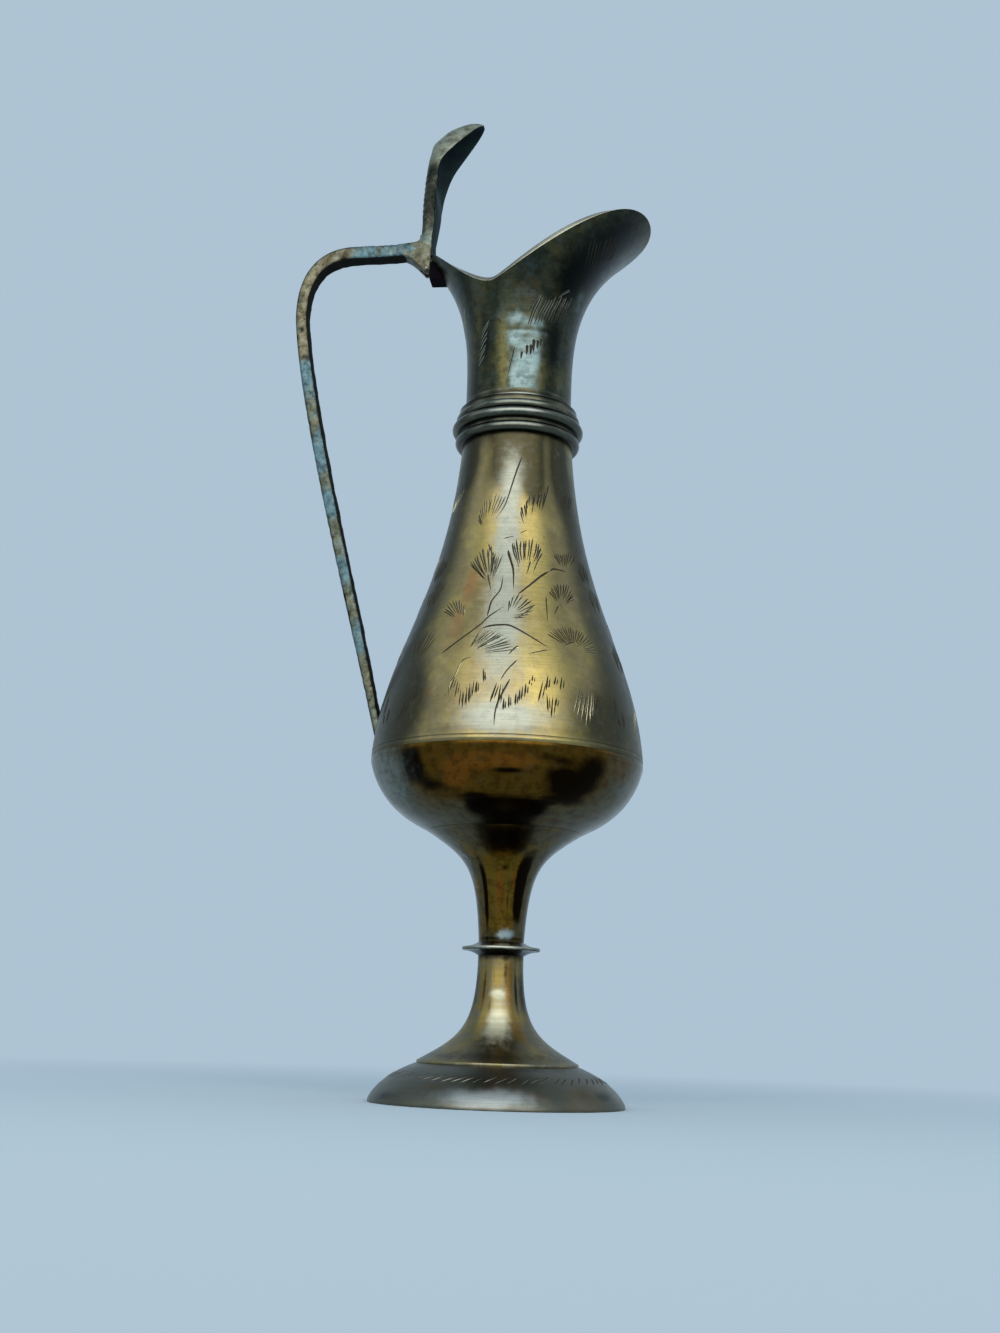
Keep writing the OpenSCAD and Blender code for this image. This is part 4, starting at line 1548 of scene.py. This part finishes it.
# On the trumpet the pale patches at the front are a painted highlight and a painted spot of light,
# the wide dark ones at the sides painted shade, and the pale ring at the flange a painted line of
# light
TRUMPET_STAINS_AND_PAINTED_LIGHT = {
    Mask.GOLD_AND_REFLECTION: ((-22, 15.5, 13, 4.5, 1.1), (0, 23.6, 22, 3, 0.9), (130, 17, 30, 6.5, 0.8),
                (-120, 16, 30, 6, 0.8)),
    Mask.WARM_AND_REFLECTION: ((34, 13.6, 14, 2.4, 1.1), (30, 22.5, 12, 5.5, 1.2), (-34, 21, 11, 4.5, 0.9)),
    Mask.DARK_AND_SHADE: ((-32, 21.5, 4, 6, 0.75), (46, 21, 5, 5.5, 0.9), (-8, 23.5, 2.5, 2, 0.5),
                (-66, 21, 18, 6, 0.8), (70, 21, 18, 6, 0.8), (20, 24.5, 8, 3, 0.7),
                (-14, 18, 6, 2.5, 0.6), (180, 20, 24, 6, 0.5), (0, 27.5, 180, 0.8, 0.9),
                (0, 9, 180, 1.3, 0.5)),
    Mask.PALE_AND_HIGHLIGHT: ((5, 14.6, 24, 4.2, 1.15), (3, 20.4, 19, 0.9, 1.2), (0, 7.6, 180, 0.5, 0.4)),
}
# On the disc the dark ring is painted shade on its underside and the pale ring a painted line of
# light on its upper edge
DISC_PAINTED_LIGHT = {
    Mask.DARK_AND_SHADE: ((0, 28, 180, 0.7, 0.9),),
    Mask.PALE_AND_HIGHLIGHT: ((0, 29.2, 180, 0.5, 1.2),),
}
# On the funnel the gold, warm and dark patches at the front paint a reflection, a T of gold, and
# the low pale one a painted highlight
FUNNEL_STAINS_AND_PAINTED_LIGHT = {
    Mask.GOLD_AND_REFLECTION: ((7, 39.4, 34, 7.6, 2, 2), (130, 40, 34, 9, 0.9), (-130, 42, 34, 9, 0.9),
                (8, 45.3, 22, 0.9, 1.2, 2)),
    Mask.WARM_AND_REFLECTION: ((0, 39.5, 6, 5, 1.1), (26, 42, 4, 3, 0.8)),
    Mask.DARK_AND_SHADE: ((22, 31.9, 6, 0.5, 0.6), (42, 40.2, 13, 6.8, 1.8, 1.5), (-31, 39, 6, 7.5, 1.2, 1.5),
                (9, 43.9, 9, 0.8, 0.75), (17, 38, 3, 5, 0.6), (8, 48.8, 23, 2.7, 0.85, 2),
                (180, 44, 60, 3, 0.6), (0, 30.6, 180, 0.5, 0.9)),
    Mask.PALE_AND_HIGHLIGHT: ((16, 31.5, 28, 1.1, 1.05), (-58, 45, 14, 6, 0.5)),
}
# On the bowl the patches at the front paint a reflection: gold and coppery patches ringed and
# crossed by dark, with paler flanks
BOWL_STAINS_AND_PAINTED_LIGHT = {
    Mask.GOLD_AND_REFLECTION: ((6, 61.3, 47, 6.9, 2, 2), (195, 58, 22, 2.6, 1)),
    Mask.WARM_AND_REFLECTION: ((0, 61.4, 24, 2, 1.1), (-16, 58.4, 9, 2.2, 0.9), (150, 61.5, 22, 2.4, 1)),
    Mask.DARK_AND_SHADE: ((-37, 61.2, 8, 3.6, 1.1, 1.5), (-28, 57.4, 9, 1.5, 0.8), (37, 57.4, 14, 2.6, 1.3),
                (45, 61.2, 9, 3.4, 0.95), (30, 59.6, 9, 2, 0.7), (22, 62.4, 5, 1, 0.5),
                (6, 55.2, 44, 0.8, 0.45, 2), (30, 62, 6, 1, 0.6), (7, 59.7, 9, 0.7, 1),
                (-8, 55.6, 8, 0.9, 0.6), (7, 53.8, 22, 1.15, 2, 2), (8, 51.7, 17, 1.3, 1.6, 2),
                (170, 61, 46, 4, 1)),
    Mask.PALE_AND_HIGHLIGHT: ((-60, 60, 20, 6, 1.3), (72, 59, 14, 3, 0.5)),
}
# On the shoulder the pale patches at the front paint the highlight band, the gold ones beside it
# painted reflections, and the wide dark ones at the sides and the top painted shade
SHOULDER_STAINS_AND_PAINTED_LIGHT = {
    Mask.GOLD_AND_REFLECTION: ((22, 104, 12, 26, 1.3), (22, 76, 13, 9, 0.9), (-18, 106, 10, 12, 0.9),
                (-16, 80, 9, 8, 0.6), (140, 90, 22, 20, 0.9), (-130, 84, 20, 16, 0.8)),
    Mask.WARM_AND_REFLECTION: ((-20, 97, 5, 4, 1.1), (-23, 88.5, 5, 6, 0.7), (-31, 74.5, 2.2, 1.3, 1.2),
                (155, 80, 9, 6, 0.9)),
    Mask.DARK_AND_SHADE: ((3, 126, 26, 9, 1.35, 2), (24, 123, 11, 11, 1.2, 1.5), (4, 130, 60, 2, 0.6),
                (6, 67.2, 34, 0.9, 0.5), (2, 69.6, 24, 3.2, 0.6), (52, 124, 15, 10, 1.4),
                (-44, 126, 18, 8, 1.1), (-40, 73, 15, 9, 1.05), (46, 70, 16, 7, 0.75),
                (74, 92, 30, 40, 0.9, 2), (-68, 92, 32, 40, 1, 2), (12, 80.6, 40, 0.16, 0.4)),
    Mask.PALE_AND_HIGHLIGHT: ((3, 120.5, 12, 6.5, 0.69), (1, 108, 11, 12, 1.15), (2, 88, 12, 14, 1.2),
                (4, 69.4, 21, 3.4, 1.15), (180, 105, 22, 20, 0.7), (-95, 95, 16, 22, 0.7),
                (105, 100, 16, 22, 0.7)),
}
# On the collar the dark ring at the foot is painted shade under the lower bead, the other dark
# rings darken the grooves and the top joint, and the pale ones at the front are painted highlights
# on the crests
COLLAR_STAINS_AND_PAINTED_LIGHT = {
    Mask.DARK_AND_SHADE: ((0, 2.45, 180, 0.5, 1), (0, 4.95, 180, 0.35, 1), (0, -0.1, 180, 0.45, 0.9),
                (0, 7.75, 180, 0.25, 0.9), (0, 8.7, 180, 0.9, 0.62)),
    Mask.PALE_AND_HIGHLIGHT: ((5, 3.9, 45, 0.6, 0.9), (5, 6.1, 40, 0.5, 0.8), (5, 1.3, 40, 0.5, 0.7),
                (10, 8.3, 30, 0.2, 0.8)),
}
# On the neck the pale patches at the front paint the highlight, and on the flare the gold, warm and
# dark ones paint a reflection
MOUTH_STAINS_AND_PAINTED_LIGHT = {
    Mask.GOLD_AND_REFLECTION: ((-10, 146, 6, 9, 1.1), (32, 142, 6, 5, 0.9), (-18, 149, 6, 8, 0.9),
                (30, 143, 6, 5, 0.3), (-44, 156, 10, 8, 0.7), (-30, 163, 12, 4, 0.9)),
    Mask.WARM_AND_REFLECTION: ((14, 160, 22, 4, 0.5), (40, 168, 12, 3, 0.5), (64, 173, 14, 3, 0.4)),
    Mask.DARK_AND_SHADE: ((13, 149.4, 9, 1.1, 0.5), (46, 150, 14, 9, 0.8), (-34, 150, 9, 12, 0.8),
                (50, 164, 22, 7, 0.9), (76, 172, 26, 8, 1.1), (100, 160, 30, 10, 0.6),
                (12, 152.4, 30, 0.4, 0.6)),
    Mask.PALE_AND_HIGHLIGHT: ((10, 144, 13, 6, 1), (2, 141.5, 8, 3, 0.8), (22, 147, 10, 6, 0.75),
                (0, 150.3, 12, 1.8, 0.85), (2, 154.6, 14, 1.6, 0.7), (22, 153.8, 14, 1, 0.6),
                (72, 161, 10, 4, 0.4), (12, 151.6, 22, 0.4, 0.5), (180, 150, 40, 10, 0.7)),
}

# One of the body's sprays: its leaves, its rows of strokes and its stems
SPRAY_FANS = (
    Fan(-16.7, 108.5, ((123, 3.6), (105, 6), (90, 8.2), (66, 8.8)), 0.4, 13, 0.32),
    Fan(16.2, 107.6, ((104, 5.4), (95, 6.9), (87, 8.4), (80, 9.6), (74, 11.1), (69, 9.3)), 0.6,
        12, 0.42),
    Fan(54.4, 112.2, ((98, 4.9), (80, 6.6), (63, 7.8)), 0.5, 6),
    Fan(-7.3, 96.4, ((134, 7.3), (121, 8), (110, 9.1), (98, 8.8), (84, 6.7), (76, 7.1)), 0.27,
        17, 0.34),
    Fan(13.4, 95.5, ((103, 11.4), (88, 11.3), (83, 12.5), (75, 12), (66, 10.1)), 0.55, 12,
        0.44),
    Fan(43.4, 100.5, ((120, 4.2), (88, 4.3), (50, 6.4)), 0.4, 10, 0.34),
    Fan(35.3, 92.7, ((122, 3.8), (93, 5), (77, 5.5), (64, 6.6), (48, 5.7), (33, 4.3)), 0.36,
        14, 0.34),
    Fan(4.2, 89.3, ((87, 3.9), (71, 5.9), (50, 6.1), (32, 6.3), (5, 3.4)), 0.36, 10, 0.38),
    Fan(-20, 88.7, ((150, 5.9), (131, 6.9), (110, 5.6), (91, 3.2)), 0.35, 10, 0.34),
    Fan(-15.1, 81.4, ((66, 6.2), (44, 7.8), (27, 9), (7, 9.8)), 0.36, 16, 0.34),
    Fan(37.8, 83.6, ((150, 6), (114, 5.2), (78, 5.2), (47, 5.8), (30, 6.8), (5, 6.6)), 0.3, 21,
        0.32),
    Fan(-50, 91, ((112, 7), (92, 9), (72, 8)), 0.4, 6, 0.32, False),
    Fan(-45, 79.5, ((106, 7), (80, 9.5), (58, 8)), 0.4, 7, 0.34, False),
    Fan(-56, 97.6, ((112, 5), (90, 7.4), (66, 6.4)), 0.4, 7, 0.34, False),
)
SPRAY_RAKES = (
    Rake((27, 113.4), (30, 113.6), (4, 4), (3.6, 4), 2, 0.46),
    Rake((-10, 103.8), (-5, 99.6), (-2, 1), (2, 2.6), 5, 0.36),
)
SPRAY_CUTS = (
    Cut(((11.5, 124.6), (7.1, 121.7), (3, 118.4), (-2.1, 114), (-8.8, 111.2)), 0.42, 0.5),
    Cut(((38.9, 119.4), (33.2, 115.8), (29.2, 113.3)), 0.5, 0.3),
    Cut(((-27.8, 82.3), (-21.2, 84.3), (-14.3, 86.4), (-8.7, 88.2), (-5.9, 89.5), (2.2, 91.8)),
        0.4, 0.7),
    Cut(((-6.5, 89.7), (-5.9, 91.2), (-4.9, 93.1), (-0.6, 95.5), (0.2, 98.6)), 0.4, 0.5),
    Cut(((-8.3, 87.1), (-4.3, 87.6), (0.8, 87.8), (5.9, 87.7), (13.4, 86.2), (24.9, 83.5)),
        0.45, 0.6),
    Cut(((9.8, 94.5), (17.1, 96.7), (24.7, 98.9), (31.5, 100.3)), 0.35, 1.5),
    Cut(((31.5, 100.3), (34.8, 100.9), (44.5, 100.8)), 0.55, 0.3),
    Cut(((2.5, 104.1), (4.9, 101.9), (6.8, 99.5), (7.1, 95.3)), 0.75, 0.2),
    Cut(((-9.6, 98.9), (-6.2, 95.3)), 0.45, 0.3),
    Cut(((18.2, 101.9), (15.1, 98.8)), 0.42, 0.3),
    Cut(((26.6, 94.6), (25.6, 88.8)), 0.36, 0.3),
    Cut(((33.7, 92.8), (30.4, 90.9)), 0.4, 0.3),
    Cut(((-1, 106.7), (6.7, 107.2)), 0.22, 0.6),
    Cut(((10.8, 107.9), (16.2, 108.7)), 0.2, 0.6),
    Cut(((19.4, 92.4), (8.4, 88.9)), 0.32, 0.4),
    Cut(((-3.4, 84.1), (-9.7, 82.7)), 0.45, 0.4),
    Cut(((10.5, 83.4), (8.6, 83), (5.5, 81.5)), 0.5, 0.3),
    Cut(((39.3, 85.5), (32.4, 84.3)), 0.4, 0.4),
    Cut(((24.3, 83.1), (14.6, 81.9)), 0.3, 0.5),
    Cut(((-11.5, 81.1), (-15.6, 80.4), (-17.8, 77.6), (-19.6, 76), (-19.5, 73.3)), 0.3, 0.7),
    Cut(((9.6, 80.5), (5.3, 78.4), (2.5, 76.2)), 0.36, 0.6),
    Cut(((6.7, 76.6), (2.5, 72.5), (1.2, 70.1), (1, 67.5)), 0.5, 0.5),
)
# Azimuth and height of the top, lean in degrees, length and width of each hanging stroke
HANGING = (
    (-17.7, 77.4, -1.4, 2.8, 0.34), (-16, 76.5, -0.3, 3.3, 0.3), (-14.1, 74.9, 0.1, 3.5, 0.3),
    (-12.6, 74.5, 0, 3.5, 0.3), (-11.6, 75.5, 0.6, 4.2, 0.3), (-10.4, 76, 0.6, 4.1, 0.32),
    (-8.7, 76.4, -0.1, 3.1, 0.34), (-7.4, 76.4, 0.2, 2.6, 0.4), (-5.3, 78.8, 1, 2.8, 0.42),
    (1.3, 76, -2.4, 3.9, 0.5), (3, 75.8, -1.1, 4.9, 0.42), (4.5, 72.9, -0.2, 2.3, 0.48),
    (6.5, 73.7, 0, 2.7, 0.42), (9.4, 74.1, -0.3, 2.5, 0.46), (11, 74.9, -0.3, 2.5, 0.42),
    (12.1, 75.4, -0.4, 2.4, 0.36), (13.5, 76, -0.4, 2.2, 0.46), (15.3, 76.8, -0.5, 1.1, 0.34),
    (16.6, 77.7, -0.5, 1.3, 0.34), (21, 76.8, -2.5, 4.4, 0.4), (23.3, 77.9, -1.2, 3, 0.5),
    (27, 77.9, -1.2, 1.8, 0.42), (29.9, 78, -1.5, 2.8, 0.4), (22.4, 74.1, 0.2, 3.4, 0.44),
    (25, 74, -1.2, 4.4, 0.4), (26.8, 73.7, -1.1, 1.9, 0.42), (38.5, 76.6, -4.3, 5.4, 0.34),
    (39.9, 76.3, -4.5, 6.2, 0.34), (41.4, 76, -4.2, 6.5, 0.3), (42.9, 75.7, -3.4, 6.9, 0.3),
    (44.7, 75.8, -3, 6.1, 0.3), (47.3, 76.4, -4.3, 5.4, 0.3), (49, 76.1, -4.1, 4.3, 0.3),
    (-36.7, 75.8, -2.1, 2.3, 0.3), (-39, 75.5, -2.2, 4.2, 0.3), (-41.1, 74.8, -3.3, 4.9, 0.3),
    (-43, 73.8, -3.9, 4.5, 0.3), (58.7, 76.3, -1, 5, 0.3), (59.1, 72.4, 1, 2.5, 0.3),
    (63.8, 73.3, -0.5, 3.5, 0.3),
)
# The neck's rows of strokes, and its single ones
NECK_RAKES = (
    Rake((12.5, 152.6), (52, 155.2), (11.5, 6), (6.4, 5.6), 12, 0.62),
    Rake((-45, 145.4), (-39, 152.4), (10, 11), (2.4, 2.7), 7, 0.5),
    Rake((60, 166.6), (84, 171), (-7, -9), (4.6, 3.4), 9, 0.36),
    Rake((135.5, 153.6), (170, 155.4), (8.6, 5), (4.6, 4.6), 10, 0.46),
    Rake((-104.5, 153.6), (-70, 155.4), (8.6, 5), (4.6, 4.6), 10, 0.46),
)
NECK_CUTS = (
    Cut(((0.9, 148.3), (-2.2, 145.6), (-5.8, 142.4)), 0.42, 0.5),
    Cut(((20.7, 150.3), (20.5, 147.4)), 0.85, 0.4, False),
    Cut(((25.3, 150.2), (24.6, 148.2)), 0.75, 0.4, False),
    Cut(((17.9, 149.1), (17.6, 146.8)), 0.8, 0.4, False),
    Cut(((13.9, 148.9), (13.4, 146.7)), 0.75, 0.4, False),
    Cut(((28.6, 150.6), (27.8, 149)), 0.6, 0.4, False),
    Cut(((8.4, 147.4), (7.4, 145.8)), 0.6, 0.4, False),
    Cut(((23.3, 159.6), (13, 155.5)), 0.5, 0.3),
    Cut(((53.3, 162), (46, 160.6), (41, 159.3)), 0.6, 0.3),
)

# Place along the handle and half length of each blue-green patch, in steps of its path
PATCHES = ((12, 9), (101, 8), (138, 8), (160, 6), (187, 5), (216, 6))

# Shares along the leaf: half width, depth, hollow and roundness of its section
LEAF_WIDTHS = ((-0.12, 0.31), (-0.04, 0.32), (0.03, 0.4), (0.11, 0.55), (0.21, 0.76), (0.32, 0.87),
               (0.45, 1), (0.56, 0.97), (0.7, 0.83), (0.8, 0.73), (0.87, 0.62), (0.94, 0.46),
               (0.98, 0.3), (1, 0.12))
LEAF_DEPTHS = ((0, 0.47), (0.1, 0.53), (0.3, 0.59), (0.4, 0.62), (0.5, 0.685), (0.6, 0.82),
               (0.7, 1), (0.8, 0.98), (0.87, 0.9), (0.94, 0.66), (0.98, 0.42), (1, 0.16))
LEAF_HOLLOWS = ((-0.12, -0.6), (0, -0.4), (0.15, -0.3), (0.3, 0.3), (0.45, 0.85), (0.6, 1),
                (0.9, 1), (1, 0.6))
LEAF_ROUNDS = ((0, 0.45), (0.35, 0.8), (0.5, 1), (1, 1))


# Studio


@dataclass
class Studio:
    """Pale floor, even world, soft lamps and the photograph's camera."""

    backdrop: str = "#aec3d3"  # colour of the far floor and the world
    floor: str = "#b7c5ce"  # colour of the floor near the ewer
    ambient: float = 1.0  # strength of the world
    lens: float = 43.21  # focal length in millimetres for a 36 mm sensor
    place: tuple[float, float, float] = (35.97, -309.6, 13.75)  # of the camera
    pitch: float = 12.8  # its upward pitch in degrees
    turn: float = 7.0  # its azimuth round the ewer in degrees
    roll: float = 1.927  # how far the ewer's top leans right in the picture, in degrees

    def lamp(self, name: str, spot: tuple[float, float, float], size: Point, power: float,
             colour: str) -> None:
        """Adds a soft rectangular lamp that faces the ewer.

        Args:
            name: Its name.
            spot: Its place in metres.
            size: Its width and height in metres.
            power: Its power in watts.
            colour: Its colour.
        """
        data = bpy.data.lights.new(name, "AREA")
        data.shape = "RECTANGLE"
        data.size, data.size_y = size
        data.energy = power
        data.color = linear(colour)[:3]
        lamp = bpy.data.objects.new(name, data)
        lamp.location = spot
        lamp.rotation_mode = "QUATERNION"
        aim = Vector((0, 0, 0.1)) - Vector(spot)
        lamp.rotation_quaternion = aim.to_track_quat("-Z", "Y")
        bpy.context.scene.collection.objects.link(lamp)

    def ground(self) -> None:
        """Adds the floor, plain near the ewer and fading into the world far away."""
        bm = bmesh.new()
        bmesh.ops.create_circle(bm, cap_ends=True, segments=96, radius=6.0)
        mesh = bpy.data.meshes.new("floor")
        bm.to_mesh(mesh)
        bm.free()
        floor = bpy.data.objects.new("floor", mesh)
        bpy.context.scene.collection.objects.link(floor)
        made = bpy.data.materials.new("pale_floor")
        made.use_nodes = True
        node = partial(add, made.node_tree)
        shader = fill(
            made.node_tree.nodes["Principled BSDF"],
            {"Base Color": linear(self.floor), "Roughness": 0.95, "Specular IOR Level": 0.1})
        glow = node("Emission", {"Color": linear(self.backdrop), "Strength": self.ambient})
        spot = node("TexCoord").outputs["Object"]
        reach = node("VectorMath", {0: spot}, operation="LENGTH").outputs["Value"]
        far = node("MapRange", {"Value": reach, "From Min": 0.06, "From Max": 0.3},
                   interpolation_type="SMOOTHSTEP")
        surface = node("MixShader", {0: far, 1: shader, 2: glow})
        fill(made.node_tree.nodes["Material Output"], {"Surface": surface})
        mesh.materials.append(made)

    def camera(self) -> None:
        """Adds the camera as the photograph was taken."""
        data = bpy.data.cameras.new("camera")
        data.sensor_width = 36
        data.lens = self.lens
        data.clip_start, data.clip_end = 0.01, 50
        camera = bpy.data.objects.new("camera", data)
        bpy.context.scene.collection.objects.link(camera)
        made = Matrix.Translation(Vector(self.place) * MM)
        for degrees, axis in ((self.turn, "Z"), (90 + self.pitch, "X"), (self.roll, "Z")):
            made = made @ Matrix.Rotation(math.radians(degrees), 4, axis)
        camera.matrix_world = made
        bpy.context.scene.camera = camera

    def build(self) -> None:
        """Builds floor, world, lamps and camera."""
        scene = bpy.context.scene
        world = bpy.data.worlds.new("studio")
        world.use_nodes = True
        fill(world.node_tree.nodes["Background"],
             {"Color": linear(self.backdrop), "Strength": self.ambient})
        scene.world = world
        scene.view_settings.view_transform = "Standard"
        self.ground()
        self.lamp("window", (0.07, -0.8, 0.5), (1.5, 0.8), 9.2, "#fffdf5")
        self.lamp("left_fill", (-0.9, -0.3, 0.5), (0.3, 0.8), 0.65, "#eef4ff")
        self.lamp("right_fill", (0.9, 0.1, 0.5), (0.3, 0.8), 0.4, "#eef4ff")
        self.camera()


def main() -> None:
    """Builds every sub-assembly in order."""
    logging.basicConfig(level=logging.INFO, format="%(levelname)s %(name)s %(message)s")
    for part in (Studio(), Foot(), Stem(), Body(), Collar(), Mouth(), Handle()):
        log.info("building %s", type(part).__name__)
        part.build()
    dress_small_parts()


if __name__ == "__main__":
    main()
